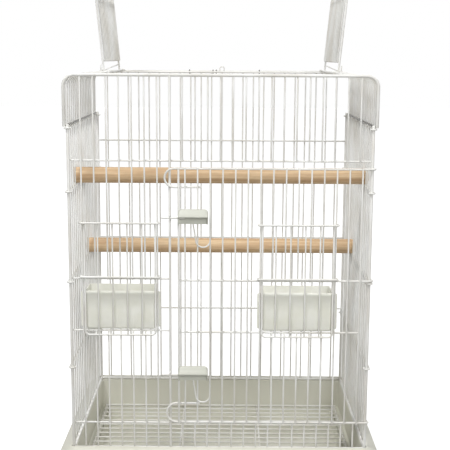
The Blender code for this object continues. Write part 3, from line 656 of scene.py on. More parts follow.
def eased(profile: Sequence[tuple[float, ...]], steps: int = 4) -> np.ndarray:
    """Round a closed profile's corners: each corner p is swapped for (1-t)^2 a + 2t(1-t) p + t^2 b.

    Args:
        profile: Rows of x, y, how far from each corner its sides start to bend, and any value to carry along.
        steps: Steps in each bend.

    Returns:
        The profile's points with what they carry, one a row.
    """
    corners = np.asarray(profile, float)
    spots = np.delete(corners, 2, axis=1)
    before = np.roll(spots, 1, axis=0) - spots
    after = np.roll(spots, -1, axis=0) - spots
    before /= np.linalg.norm(before[:, :2], axis=1, keepdims=True)
    after /= np.linalg.norm(after[:, :2], axis=1, keepdims=True)
    reach = corners[:, 2:3]
    start = (spots + before * reach)[:, None, :]
    end = (spots + after * reach)[:, None, :]
    t = np.linspace(0.0, 1.0, steps + 1)[None, :, None]
    bends = (1.0 - t) ** 2 * start + 2.0 * t * (1.0 - t) * spots[:, None, :] + t**2 * end
    points = bends.reshape(-1, spots.shape[1])
    # Where two bends meet, their ends are one point.
    apart = np.linalg.norm(np.diff(points[:, :2], axis=0), axis=1) > ONE_SPOT
    return points[np.append(True, apart)]


# The cage's shared sizes and the way that pieces are placed


@dataclass(frozen=True)
class CageSizes:
    """Sizes that the sub-assemblies share, as in the part's own source."""

    pitch: float = 0.01905
    front_pitches: int = 24
    side_pitches: int = 18
    left_bars: int = 7  # front bars between the corner and the latch post
    half_w: float = 0.2286
    half_d: float = 0.17145
    rim_z: float = 0.0865
    step_z: float = 0.0808
    roof_z: float = 0.665
    rail_z: float = 0.0834
    bar: float = 0.00122
    bar_corner: float = 0.00127  # from the middle of a packed bar, which is angular, to its edges
    bar_flat: float = 0.0011  # and to its faces
    cross: float = 0.00146
    frame: float = 0.0024
    inner_x: float = 0.2260
    inner_y: float = 0.16885
    hinge_out: float = 0.178  # the roof doors' hinge rods
    rod_z: float = 0.6676
    hatch: tuple[int, int] = (4, 15)  # side pitches at the ends of the roof's opening
    gap: float = 0.0003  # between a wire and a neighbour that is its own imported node
    past: float = 0.0017  # how far a bar's end goes past the wire that it is welded to

    def front_x(self, k: Values) -> np.ndarray:
        """Return where front or rear bar k stands."""
        return -self.half_w + np.asarray(k, float) * self.pitch

    def side_y(self, k: Values) -> np.ndarray:
        """Return where side bar k stands."""
        return -self.half_d + np.asarray(k, float) * self.pitch

    @property
    def latch_x(self) -> float:
        """Return where the latch post stands."""
        return float(self.front_x(self.left_bars + 1))


SIZES = CageSizes()


@dataclass(frozen=True)
class Guides:
    """The two bars that a feeder door slides on and a cup hangs behind."""

    left: float
    right: float
    y: float

    @property
    def half(self) -> float:
        """Return half the way from one bar to the other."""
        return (self.right - self.left) / 2.0

    @property
    def middle(self) -> float:
        """Return the middle between the bars."""
        return (self.left + self.right) / 2.0


class SubAssembly:
    """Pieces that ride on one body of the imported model."""

    body: str = "cage"

    def place(
        self, name: str, surface: Surface, coat: Coat, replaces: Sequence[str] = ()
    ) -> bpy.types.Object:
        """Make a piece of the object.

        Args:
            name: The piece's name.
            surface: Its points and faces, where they belong in the cage.
            coat: Its finish.
            replaces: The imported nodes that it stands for.

        Returns:
            The new object.
        """
        mesh = surface.mesh(name)
        soften(mesh)
        mesh.materials.append(coat.value.material())
        piece = new_object(name, mesh)
        if replaces:
            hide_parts(*replaces)
        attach(piece, self.body)
        LOG.info("%s: %d points on %s", name, len(surface.points), self.body)
        return piece

    def place_both(self, name: str, left: Surface, coat: Coat, replaces: Sequence[str]) -> None:
        """Make a piece on the left side of the cage and its mirror image on the right.

        Args:
            name: The pieces' name, with {} for the side.
            left: The left piece's points and faces.
            coat: Their finish.
            replaces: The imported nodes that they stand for, with {} for the side.
        """
        for side, surface in (("left", left), ("right", left.mirrored())):
            self.place(name.format(side), surface, coat, [node.format(side) for node in replaces])

    def carve(self, piece: bpy.types.Object, *tools: Surface, operation: str = "DIFFERENCE") -> None:
        """Cut tools out of a piece, or join them to it, and keep the result as its mesh.

        Args:
            piece: The piece to change.
            tools: Closed surfaces.
            operation: DIFFERENCE or UNION.
        """
        tool = new_object("tool", join(tools).mesh("tool"))
        step = piece.modifiers.new("carve", "BOOLEAN")
        step.operation = operation
        step.solver = "EXACT"
        step.object = tool
        graph = bpy.context.evaluated_depsgraph_get()
        result = bpy.data.meshes.new_from_object(piece.evaluated_get(graph), depsgraph=graph)
        piece.modifiers.clear()
        old = piece.data
        piece.data = result
        result.name = old.name
        spent = tool.data
        bpy.data.objects.remove(tool)
        bpy.data.meshes.remove(spent)
        bpy.data.meshes.remove(old)


# Sub-assemblies


@dataclass
class WireBody(SubAssembly):
    """The corner posts, bottom rails and four walls."""

    post_foot: float = 0.0002  # over the base's step
    post_top: float = 0.5923
    header_drop: float = 0.1275
    sill_rise: float = 0.038
    feeder_drop: float = 0.309
    feeder_opening: float = 0.082
    latch_post: float = 0.0019
    latch_post_out: float = 0.0006
    latch_post_drop: float = 0.001  # from the roof's wires to its top
    latch_wire_end: float = 0.0015  # past its centre line
    wire_end: float = 0.002  # from a level wire's end to the middle of the corner post
    weld: float = 0.0024  # between the centre lines of a bar and the wire that it is welded to
    hook: float = 0.00409
    hook_tail: float = 60.0  # where it ends round the corner post, in degrees from the post's inner side
    side_drops: tuple[float, ...] = (0.079, 0.175, 0.3145, 0.450)
    rear_drops: tuple[float, ...] = (0.125, 0.306, 0.442)

    def posts_and_rails(self) -> None:
        """Build the heavier wires at the corners and the bottom."""
        s = SIZES
        foot = s.step_z + self.post_foot
        sides = (-s.half_w, s.half_w)
        ends = (-s.half_d, s.half_d)
        corners = [(x, y) for x in sides for y in ends]
        posts = [line((x, y, foot), (x, y, self.post_top), s.frame, THICK_SIDES) for x, y in corners]
        names = ("front_left_post", "hinge_post", "rear_left_post", "rear_right_post")
        self.place("corner_posts", join(posts), Coat.WIRE, names)
        rails = [level(-s.half_w, s.half_w, y, s.rail_z, s.frame) for y in ends]
        rails += [lengthways(x, s.half_d, s.rail_z, s.frame, THICK_SIDES) for x in sides]
        names = ("front_rail", "rear_rail", "left_rail", "right_rail")
        self.place("bottom_rails", join(rails), Coat.WIRE, names)

    def guides(self) -> Guides:
        """Return the bars that the left feeder door slides on."""
        return Guides(*SIZES.front_x([1, SIZES.left_bars]), -SIZES.half_d - SIZES.gap)

    def front_left(self) -> None:
        """Build the front wall left of the door, with the feeder opening and the latch post."""
        s = SIZES
        y = -s.half_d - s.gap
        top_z = s.roof_z - self.feeder_drop
        low_z = top_z - self.feeder_opening
        post_top = s.roof_z - self.latch_post_drop
        full = s.front_x([1, s.left_bars])
        short = s.front_x(range(2, s.left_bars))
        shapes = [
            uprights(full, y, s.rail_z, s.roof_z, s.bar),
            uprights(short, y, s.rail_z, low_z + s.past, s.bar),
            uprights(short, y, top_z - s.past, s.roof_z, s.bar),
            uprights(s.latch_x, y - self.latch_post_out, s.rail_z, post_top, self.latch_post),
        ]
        for z in (low_z, top_z):
            ends = (self.wire_end - s.half_w, s.latch_x + self.latch_wire_end)
            shapes.append(level(*ends, y + self.weld, z, s.cross))
            shapes.append(beads(as_points(np.append(full, short), y + self.weld / 2.0, z), THIN_WELD, 1))
        self.place("front_left_wirework", join(shapes), Coat.WIRE, ["front_left_bars"])

    def front_right(self) -> None:
        """Build the front wall above and below the door."""
        s = SIZES
        x = s.front_x(range(s.left_bars + 2, s.front_pitches))
        reach = s.half_w - self.wire_end
        header = s.roof_z - self.header_drop
        sill = s.rim_z + self.sill_rise
        for name, z, low, high in (
            ("front_upper", header, header - s.past, s.roof_z),
            ("front_lower", sill, s.rail_z, sill + s.past),
        ):
            shapes = [
                uprights(x, -s.half_d, low, high, s.bar),
                level(-reach, reach, self.weld - s.half_d, z, s.cross),
                beads(as_points(x, self.weld / 2.0 - s.half_d, z), THIN_WELD, 1),
            ]
            self.place(name + "_wirework", join(shapes), Coat.WIRE, [name + "_bars"])

    def rear(self) -> None:
        """Build the rear wall, whose middle wire is packed as one node with the bars."""
        s = SIZES
        x = s.front_x(range(1, s.front_pitches))
        reach = s.half_w - self.wire_end
        shapes = [uprights(x, s.half_d, s.rail_z, s.roof_z, s.bar)]
        for number, drop in enumerate(self.rear_drops):
            inset = self.weld + (0.0 if number == 1 else s.gap)
            z = s.roof_z - drop
            shapes.append(level(-reach, reach, s.half_d - inset, z, s.cross))
            shapes.append(beads(as_points(x, s.half_d - inset / 2.0, z), DEEP_WELD, 1))
        self.place("rear_wirework", join(shapes), Coat.WIRE, ["rear_bars", "rear_wire_1", "rear_wire_3"])

    def hooked(self, z: float, reach: float) -> Surface:
        """Build a left side wire whose ends go round the corner posts.

        Args:
            z: The wire's height.
            reach: The hooks' radius.

        Returns:
            The wire.
        """
        s = SIZES
        front = arc((-s.half_w, -s.half_d, z), reach, self.hook_tail, -180.0, 20, X_AXIS, Y_AXIS)
        back = front[::-1] * np.array([1.0, -1.0, 1.0])
        return tube(np.vstack([front, back]), s.cross)

    def sides(self) -> None:
        """Build both side walls, whose top wire is packed as one node with the bars."""
        s = SIZES
        wire_x = s.half_w + self.hook
        bar_x = wire_x - self.weld
        y = s.side_y(range(1, s.side_pitches))
        top = s.roof_z - self.side_drops[0] + s.past
        bar = line((-bar_x, 0.0, s.rail_z), (-bar_x, 0.0, top), s.bar)
        shapes = [copies(bar, as_points(0.0, y, 0.0))]
        for number, drop in enumerate(self.side_drops):
            extra = s.gap if number else 0.0
            z = s.roof_z - drop
            shapes.append(self.hooked(z, self.hook + extra))
            shapes.append(beads(as_points(-(bar_x + wire_x + extra) / 2.0, y, z), DEEP_WELD, 0))
        nodes = ["{}_bars", "{}_wire_2", "{}_wire_3", "{}_wire_4"]
        self.place_both("{}_wirework", join(shapes), Coat.WIRE, nodes)

    def build(self) -> None:
        """Build every wall."""
        self.posts_and_rails()
        self.front_left()
        self.front_right()
        self.rear()
        self.sides()


@dataclass
class RoofHood(SubAssembly):
    """The hood: end arches, bent bars, skirts, hinge rods and the wires before and behind the hatch."""

    arch_x: float = 0.2340
    bend: float = 0.017
    arch_foot: float = 0.5878
    skirt_foot: float = 0.5880
    skirt_z: float = 0.5897
    skirt_in: float = 0.0024  # from the bars' centre lines to the foot wire's
    rod: float = 0.00165
    rod_weld: float = 0.0013  # over the bars
    bar_end: float = 0.0016  # from the hinge rod's centre line
    wire_end: float = 0.001  # from the arches' centre lines
    catch_width: float = 0.0075
    catch_height: float = 0.0085
    catch_wire: float = 0.0010
    ties: tuple[float, ...] = (-0.0594, -0.0165, -0.0107, 0.0676)
    tie_out: float = 0.0007  # over the arch wire's surface
    tie_wire: float = 0.0010

    def corner(self, y: float, steps: int = 10) -> np.ndarray:
        """Return the left bend's centre line, from the skirt up to the roof."""
        middle = (-self.arch_x + self.bend, y, SIZES.roof_z - self.bend)
        return arc(middle, self.bend, 180.0, 90.0, steps, X_AXIS, Z_AXIS)

    def arches(self) -> None:
        """Build the end arches, and the ties that are wound round the rear one."""
        s = SIZES
        arches = []
        for y in (-s.half_d, s.half_d):
            left = np.vstack([(-self.arch_x, y, self.arch_foot), self.corner(y, 14)])
            arches.append(tube(whole(left), s.frame, THICK_SIDES))
        self.place("roof_arches_round", join(arches), Coat.WIRE, ["roof_front_arch", "roof_rear_arch"])
        tie = hoop(s.frame + self.tie_out, self.tie_wire)
        ties = copies(tie, as_points(self.ties, s.half_d, s.roof_z))
        # The ties are coloured dark as painted shade at the crossings on the rear arch.
        self.place("rear_arch_ties", ties, Coat.SHADE_PAINTED_WIRE)

    def sides(self) -> None:
        """Build the bent bars with their hinge rod, and the foot wire, on both sides."""
        s = SIZES
        rows = s.side_y(range(1, s.side_pitches))
        foot = (-self.arch_x, 0.0, self.skirt_foot)
        top = (-s.hinge_out + self.bar_end, 0.0, s.roof_z)
        bar = tube(np.vstack([foot, self.corner(0.0), top]), s.bar)
        reach = s.half_d - self.wire_end
        skirt_x = -self.arch_x + self.skirt_in
        left = [
            copies(bar, as_points(0.0, rows, 0.0)),
            lengthways(-s.hinge_out, reach, s.rod_z, self.rod),
            beads(as_points(skirt_x - self.skirt_in / 2.0, rows, self.skirt_z), THIN_WELD, 0),
            beads(as_points(-s.hinge_out, rows, s.roof_z + self.rod_weld), THIN_WELD, 2),
        ]
        self.place_both("roof_{}_wirework", join(left), Coat.WIRE, ["roof_{}_bars"])
        skirt = lengthways(skirt_x, reach, self.skirt_z, s.cross)
        # The foot wire is coloured dark as painted shade in the gap between the hood's foot and the walls'
        # top wires.
        self.place_both("roof_{}_foot_wire", skirt, Coat.SHADE_PAINTED_WIRE, ["roof_{}_skirt"])

    def level_wires(self) -> None:
        """Build the wires before and behind the hatch, and the catch loop on one of them."""
        s = SIZES
        first, last = s.hatch
        rows = s.side_y([*range(1, first + 1), *range(last, s.side_pitches)])
        wire = level(-s.hinge_out, s.hinge_out, 0.0, s.roof_z, s.bar)
        half = self.catch_width / 2.0
        y = s.side_y(last + 1)
        crown_z = s.roof_z + s.bar + self.catch_height - half
        crown = arc((0.0, y, crown_z), half, 180.0, 0.0, 12, X_AXIS, Z_AXIS)
        catch = tube(np.vstack([(-half, y, s.roof_z), crown, (half, y, s.roof_z)]), self.catch_wire)
        nodes = [f"roof_front_wire_{k + 1}" for k in range(first)]
        nodes += [f"roof_rear_wire_{k + 1}" for k in range(s.side_pitches - last)]
        shapes = [copies(wire, as_points(0.0, rows, 0.0)), catch]
        self.place("roof_level_wires", join(shapes), Coat.WIRE, nodes)

    def build(self) -> None:
        """Build the hood."""
        self.arches()
        self.sides()
        self.level_wires()


@dataclass
class RoofDoor(SubAssembly):
    """A lift-up roof door, which leans outwards a little when it is open."""

    side: int
    lean: float
    eye: float = 0.003432
    eye_tail: float = 315.0  # where it ends round the hinge rod, in degrees from the door's direction
    spread: float = 0.0055  # from the outer bars to the frame's legs
    foot: float = 0.018
    length: float = 0.1755
    bend: float = 0.008
    wire: float = 0.00155
    bar_in: float = 0.0028  # from the frame's centre line to the bars'
    bar_end: float = 0.001
    rib: float = 0.118
    rib_out: float = 0.0023  # from the bars' centre lines
    rib_end: float = 0.0008
    weld: float = 0.0015
    weld_out: float = 0.0012
    stay: float = 0.0010
    stay_ends: tuple[float, float] = (0.0036, 0.0108)
    stay_end: float = 0.001
    stay_bend: float = 0.002
    tail: float = 0.0128
    tail_out: float = 0.0038
    tail_beside: float = 0.0018

    def spot(self, u: Values, y: Values, w: Values) -> np.ndarray:
        """Points on the open door, u along it from the hinge and w outwards: a turn of (u, w) by the lean.

        Args:
            u: Distances from the hinge along the door.
            y: Distances from the cage's middle plane.
            w: Distances outwards from the door's hinge plane.

        Returns:
            The points, one a row.
        """
        u = np.asarray(u, float)
        angle = math.radians(self.lean)
        x = SIZES.hinge_out + math.sin(angle) * u + math.cos(angle) * w
        z = SIZES.rod_z + math.cos(angle) * u - math.sin(angle) * w
        return as_points(self.side * x, y, z).reshape(-1, 3)

    def frame(self, low: float, high: float) -> Surface:
        """Build the frame from one hinge eye round to the other, with the foot wire and the stay.

        Args:
            low: Where the front leg stands.
            high: Where the rear leg stands.

        Returns:
            The frame.
        """
        turn = np.radians(np.linspace(self.eye_tail, 90.0, 20))
        eye_u = self.eye * np.cos(turn)
        eye_w = self.eye * np.sin(turn)
        quarter = np.radians(np.linspace(0.0, 90.0, 9))
        far = self.length - self.bend
        first, second = self.bend * np.sin(quarter), self.bend * np.cos(quarter)
        path = [
            self.spot(eye_u, low, eye_w),
            self.spot(far + first, low + self.bend - second, self.eye),
            self.spot(far + second, high - self.bend + first, self.eye),
            self.spot(eye_u, high, eye_w)[::-1],
        ]
        foot_wire = self.spot(self.foot, (low, high), self.eye)
        # The thin stay goes from leg to leg, and its front end turns up beside the leg.
        foot, top = self.stay_ends
        bend = np.radians(np.linspace(-90.0, 0.0, 6))
        radius = self.stay_bend
        outer = self.eye + self.tail_out
        beside = low - self.tail_beside
        stay = [
            self.spot((top, foot), (high, low + self.stay_end), self.eye),
            self.spot(foot + radius + radius * np.sin(bend), beside, outer - radius + radius * np.cos(bend)),
            self.spot(self.tail, beside, outer),
        ]
        return join(
            [tube(np.vstack(path), self.wire), tube(foot_wire, self.wire), tube(np.vstack(stay), self.stay)]
        )

    def build(self) -> None:
        """Build the frame and the bars."""
        s = SIZES
        name = "roof_door_" + ("right" if self.side > 0 else "left")
        self.body = name
        first, last = s.hatch
        low = s.side_y(first) - self.spread
        high = s.side_y(last) + self.spread
        self.place(name + "_frame_round", self.frame(low, high), Coat.WIRE, [name + "_frame"])

        rows = s.side_y(range(first, last + 1))
        height = self.eye - self.bar_in
        bar = tube(self.spot((self.foot - self.bar_end, self.length + self.bar_end), 0.0, height), s.bar)
        rib_ends = (low + self.rib_end, high - self.rib_end)
        rib = tube(self.spot(self.rib, rib_ends, height + self.rib_out), s.cross)
        shapes = [copies(bar, as_points(0.0, rows, 0.0)), rib]
        for u in (self.foot, self.rib, self.length):
            shapes.append(beads(self.spot(u, rows, height + self.weld_out), THIN_WELD, 0, self.weld))
        self.place(name + "_bars_round", join(shapes), Coat.WIRE, [name + "_bars"])


@dataclass
class MainDoor(SubAssembly):
    """The large front door, whose wires end in eyes round the hinge post."""

    body: str = "main_door"
    wire: float = 0.00163
    top_z: float = 0.5265
    low_z: float = 0.12803
    mid_z: float = 0.355
    shelf_z: float = 0.2735
    eye: float = 0.00439
    eye_tail: float = 150.0  # where it ends round the hinge post, in degrees from the post's outer side
    first_bar: float = 0.0148
    bars: int = 15
    bar_out: float = 0.0026  # from the middle wires' centre lines
    past: float = 0.0018
    edge: float = 0.0097  # from the last bar to the heavier upright at the door's free edge
    edge_out: float = 0.0030
    weld_out: float = 0.0013
    wire_end: float = 0.0012
    guide_bars: tuple[int, int] = (8, 2)
    guide_y: float = -0.17844

    def bar_x(self, k: Values) -> np.ndarray:
        """Return where bar k stands, counted from the hinge."""
        return SIZES.half_w - self.first_bar - np.asarray(k, float) * SIZES.pitch

    def guides(self) -> Guides:
        """Return the bars that the feeder door in this door slides on."""
        return Guides(*self.bar_x(self.guide_bars), self.guide_y)

    def eye_path(self, radius: float, z: float) -> np.ndarray:
        """Return a wire's end round the hinge post, from its tail to the front."""
        middle = (SIZES.half_w, -SIZES.half_d, z)
        return arc(middle, radius, self.eye_tail, -90.0, 22, X_AXIS, Y_AXIS)

    def stop(self, z: float, lift: int, reach: float, height: float, tail: float) -> Surface:
        """Build a level wire that turns back past the latch post.

        Args:
            z: The wire's height.
            lift: 1 where the end turns up and -1 where it turns down.
            reach: How far the bend goes past the latch post.
            height: How far apart the wire's two runs are.
            tail: Where the wire ends, from the latch post.

        Returns:
            The wire.
        """
        post = SIZES.latch_x
        y = -SIZES.half_d - self.eye
        radius = height / 2.0
        middle = (post - reach + radius, y, z + lift * radius)
        bend = arc(middle, radius, -90.0 * lift, -270.0 * lift, 24, X_AXIS, Z_AXIS)
        end = (post + tail, y, z + lift * height)
        return tube(np.vstack([self.eye_path(self.eye, z), bend, end]), self.wire)

    def build(self) -> None:
        """Build the door."""
        s = SIZES
        top = self.stop(self.top_z, lift=-1, reach=0.0074, height=0.028, tail=0.0476)
        bottom = self.stop(self.low_z, lift=1, reach=0.0053, height=0.031, tail=0.0462)
        self.place("door_top_round", top, Coat.WIRE, ["door_top_wire"])
        self.place("door_bottom_round", bottom, Coat.WIRE, ["door_bottom_wire"])

        mid_y = -s.half_d - self.eye - s.gap
        bar_y = mid_y - self.bar_out
        index = np.arange(self.bars)
        x = self.bar_x(index)
        cut = (index > self.guide_bars[1]) & (index < self.guide_bars[0])
        low = self.low_z - self.past
        high = self.top_z + self.past
        edge_x = x[-1] - self.edge
        left = edge_x - self.wire_end
        mid_eye = self.eye_path(self.eye + s.gap, self.mid_z)
        shapes = [
            uprights(x[~cut], bar_y, low, high, s.bar),
            uprights(x[cut], bar_y, low, self.shelf_z + self.past, s.bar),
            uprights(x[cut], bar_y, self.mid_z - self.past, high, s.bar),
            uprights(edge_x, mid_y - self.edge_out, low, high, self.wire),
            tube(np.vstack([mid_eye, (left, mid_y, self.mid_z)]), self.wire),
            level(x[0] + self.wire_end, left, mid_y, self.shelf_z, self.wire),
        ]
        for z in (self.top_z, self.low_z, self.mid_z, self.shelf_z):
            shapes.append(beads(as_points(x, mid_y - self.weld_out, z), DEEP_WELD, 1))
        self.place("door_wirework", join(shapes), Coat.WIRE, ["door_bars"])


@dataclass
class FeederDoor(SubAssembly):
    """A small door that slides up two guide bars."""

    name: str
    guides: Guides
    top_z: float
    low_z: float
    stop_wire: float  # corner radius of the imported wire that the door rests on
    wire: float = 0.00155
    corner: float = 0.001617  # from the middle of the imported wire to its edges
    flat: float = 0.0014  # and to its faces
    rise: float = 0.087
    bars: int = 4
    bar_pitch: float = 0.0224
    bar_out: float = 0.0003
    bar_foot: float = 0.0004
    past: float = 0.0016
    bend: float = 0.006
    hang: float = 0.0058
    loop_gap: float = 0.0004  # between the wires' ends, which go round the guide bars, and the bars
    loop_bend: float = 0.0025
    loop_end: float = 0.001

    def build(self) -> None:
        """Build the bent leg wire, the two wires that hold on to the guide bars, and the bars."""
        s = SIZES
        self.body = self.name
        half = self.guides.half
        leg = half - s.bar_corner - s.gap - self.corner
        leg_y = self.guides.y - s.bar_flat - s.gap - self.flat
        wire_y = leg_y - 2.0 * self.flat
        bar_y = leg_y - self.bar_out
        rest_z = self.top_z + self.stop_wire + s.gap + self.corner
        head_z = self.top_z + self.rise
        foot_z = self.low_z - self.hang
        middle = (-leg + self.bend, leg_y, foot_z + self.bend)
        bend = arc(middle, self.bend, 180.0, 270.0, 10, X_AXIS, Z_AXIS)
        shapes = [tube(whole(np.vstack([(-leg, leg_y, head_z + self.past), bend])), self.wire)]

        round_bar = s.bar_flat + self.loop_gap + self.corner
        side = half + s.bar_corner + self.loop_gap + self.corner
        back_y = self.guides.y + round_bar
        reach = self.loop_bend
        back = arc((side - reach, back_y - reach, 0.0), reach, 90.0, 0.0, 6, X_AXIS, Y_AXIS)
        front = arc((side - reach, wire_y + reach, 0.0), reach, 0.0, -90.0, 6, X_AXIS, Y_AXIS)
        run = np.vstack([(half - self.loop_end, back_y, 0.0), back, front])
        shapes += [tube(whole(run + z * Z_AXIS), self.wire) for z in (rest_z, head_z)]

        x = centred(self.bars, self.bar_pitch)
        shapes.append(uprights(x, bar_y, foot_z - self.bar_foot, head_z + self.past, s.bar))
        ends = np.append(x, [-leg, leg])
        weld_y = (wire_y + leg_y) / 2.0
        for places, y, z in ((ends, weld_y, rest_z), (ends, weld_y, head_z), (x, bar_y, foot_z)):
            shapes.append(beads(as_points(places, y, z), DEEP_WELD, 1))
        door = copies(join(shapes), (self.guides.middle, 0.0, 0.0))
        self.place(self.name + "_round", door, Coat.WIRE, [self.name])


@dataclass
class Cup(SubAssembly):
    """A milky food cup with side flanges that keep it behind the guide bars."""

    name: str
    guides: Guides
    floor_z: float
    height: float = 0.061
    depth: float = 0.050
    wall: float = 0.0018
    taper: float = 0.004
    corner: float = 0.0035
    floor_corner: float = 0.0015  # the tightest one, round the floor
    side_play: float = 0.0010
    lip: float = 0.0006
    flange: float = 0.002
    flange_root: float = 0.002  # how far it goes into the cup's wall
    flange_back: float = 0.0014  # behind the guide bars' centre lines
    flange_out: float = 0.0042  # past them
    flange_foot: float = 0.0042
    flange_top: float = 0.001

    def build(self) -> None:
        """Build the cup: rings up the outside, over the rim and down the inside, then the flanges."""
        self.body = self.name
        half = self.guides.half - SIZES.bar_corner - self.side_play
        high, wall, lip = self.height, self.wall, self.lip
        # Each row says how far a ring stands in from the cup's greatest width, and its height.
        outside = [(0.0045, 0.0), (0.0020, 0.0006), (0.0006, 0.0020), (0.0, 0.0045), (0.0, high * 0.5)]
        rim = [(0.0, high - 0.0052), (-lip, high - 0.0044), (-lip, high - 0.0008), (0.0, high)]
        rim += [(wall - 0.0005, high), (wall, high - 0.0006)]
        inside = [(wall, high * 0.5), (wall, 0.0065), (wall + 0.0010, 0.0030), (wall + 0.0035, 0.0020)]
        inset, rise = np.array(outside + rim + inside).T
        narrow = self.taper * (1.0 - rise / high)
        depth = (self.depth - narrow) / 2.0
        width = half - lip - narrow / 4.0
        corner = np.maximum(self.corner - inset, self.floor_corner)
        rings = rounded_rings(-inset, self.floor_z + rise, (width, depth), corner, steps=6)
        middle_y = self.guides.y - SIZES.bar_flat + lip + depth
        rings += as_points(self.guides.middle, middle_y, 0.0)[:, None, :]
        shapes = [loft(rings)]

        low_y = self.guides.y + self.flange_back
        low_z = self.floor_z + self.flange_foot
        high_z = self.floor_z + high - self.flange_top
        for side in (-1.0, 1.0):
            ends = (half - self.flange_root, self.guides.half + self.flange_out)
            low_x, high_x = sorted(self.guides.middle + side * end for end in ends)
            shapes.append(plate((low_x, low_y, low_z), (high_x, low_y + self.flange, high_z)))
        self.place(self.name + "_moulded", join(shapes), Coat.CUP, [self.name])


@dataclass
class Latch(SubAssembly):
    """A slide bolt with a finger grip."""

    name: str
    z: float
    left: float = -0.0632
    length: float = 0.0453
    height: float = 0.0226
    back: float = -0.18094
    depth: float = 0.0085
    lip: float = 0.0040
    round_end: float = 0.0055
    end_slope: float = 0.35  # how much the ends go back for each bit that they fall
    shell: float = 0.0014
    hollow_drop: float = 0.0012  # from the grip's middle to the top of the hollow
    hollow_ease: float = 0.0008
    tool_past: float = 0.001  # how far the hollow's cutting tool goes out below
    bolt: float = 0.0015
    bolt_drop: float = 0.0018
    bolt_reach: float = 0.0255
    bolt_seat: float = 0.010

    @property
    def bolt_y(self) -> float:
        """Return the bolt's place from front to rear."""
        return self.back - self.depth / 2.0

    @property
    def bolt_z(self) -> float:
        """Return the bolt's height."""
        return self.z - self.bolt_drop

    def grip(self) -> Surface:
        """Build the grip: its outline is carried along X and shrinks over rounded ends.

        Returns:
            The grip without its hollow.
        """
        half = self.height / 2.0
        face = self.back - self.depth
        tip = face - self.lip
        outline = eased(
            [
                (self.back, -half, 0.0008),
                (self.back, half, 0.0010),
                (face + 0.0045, half, 0.0025),
                (face + 0.0005, 0.0050, 0.0030),
                (tip, 0.0022, 0.0009),
                (tip, 0.0000, 0.0007),
                (face + 0.0008, -0.0014, 0.0008),
                (face + 0.0016, -half, 0.0008),
            ]
        )
        quarter = np.radians(np.linspace(0.0, 90.0, 7))
        inward = self.round_end * (1.0 - np.cos(quarter))
        fall = self.round_end * (1.0 - np.sin(quarter))
        x = np.concatenate([self.left + self.length - inward, self.left + inward[::-1]])
        drop = np.concatenate([fall, fall[::-1]])[:, None]
        y, z = outline.T
        lower = drop * np.clip(z / half, 0.0, 1.0)
        further_back = drop * self.end_slope * (self.back - y) / (self.back - tip)
        return loft(as_points(x[:, None], y + further_back, self.z + z - lower))

    def build(self) -> None:
        """Build the grip with its hollow below, and the bolt."""
        self.body = self.name
        piece = self.place(self.name + "_grip_moulded", self.grip(), Coat.GRIP, [self.name + "_grip"])
        front = self.back - self.depth - self.lip
        low = (self.left + self.shell, front, self.z - self.height / 2.0 - self.tool_past)
        high = (self.left + self.length - self.shell, self.back - self.shell, self.z - self.hollow_drop)
        self.carve(piece, plate(low, high, self.hollow_ease))
        soften(piece.data)
        ends = (self.left - self.bolt_reach, self.left + self.bolt_seat)
        bolt = level(*ends, self.bolt_y, self.bolt_z, self.bolt)
        self.place(self.name + "_bolt_round", bolt, Coat.WIRE, [self.name + "_bolt"])


@dataclass
class LatchSpring(SubAssembly):
    """The thin bent wire on the main door that draws a latch to the left."""

    latch: Latch
    body: str = "main_door"
    wire: float = 0.0011
    y: float = -0.18114
    right: float = -0.0148
    drop: float = 0.0355
    bowl_in: float = 0.002
    bowl_start: float = 200.0  # in degrees, of which 180 is straight to the left
    start_drop: float = 0.0002
    end_drop: float = 0.0025

    def build(self) -> None:
        """Build the spring: from under the grip down, round a bowl and up again at its right end."""
        latch = self.latch
        top = latch.z - latch.height / 2.0
        start = latch.left + latch.length / 2.0
        radius = (self.right - start) / 2.0 - self.bowl_in
        middle = (self.right - radius, self.y, top - SIZES.gap - self.drop + radius)
        bowl = arc(middle, radius, self.bowl_start, 360.0, 20, X_AXIS, Z_AXIS)
        ends = [(start, self.y, top - self.start_drop), (self.right, self.y, top - self.end_drop)]
        path = np.vstack([ends[0], bowl, ends[1]])
        self.place(latch.name + "_spring_round", tube(path, self.wire), Coat.WIRE, [latch.name + "_spring"])


@dataclass
class LatchCatch(SubAssembly):
    """The forked catch wire on the latch post, which the bolt lies in."""

    latch: Latch
    wire: float = 0.0012
    clasp: float = 0.0030
    back: float = -0.18058
    back_in: float = 0.0004
    prong: float = 0.0034

    def build(self) -> None:
        """Build the catch: a half turn behind the bolt with a prong above it and one below."""
        x = SIZES.latch_x
        z = self.latch.bolt_z
        front = self.latch.bolt_y - self.prong
        middle = (x, self.back + self.clasp - self.back_in, z)
        fork = arc(middle, self.clasp, 90.0, -90.0, 12, Y_AXIS, Z_AXIS)
        path = np.vstack([(x, front, z + self.clasp), fork, (x, front, z - self.clasp)])
        name = self.latch.name + "_catch"
        self.place(name + "_round", tube(path, self.wire), Coat.WIRE, [name])


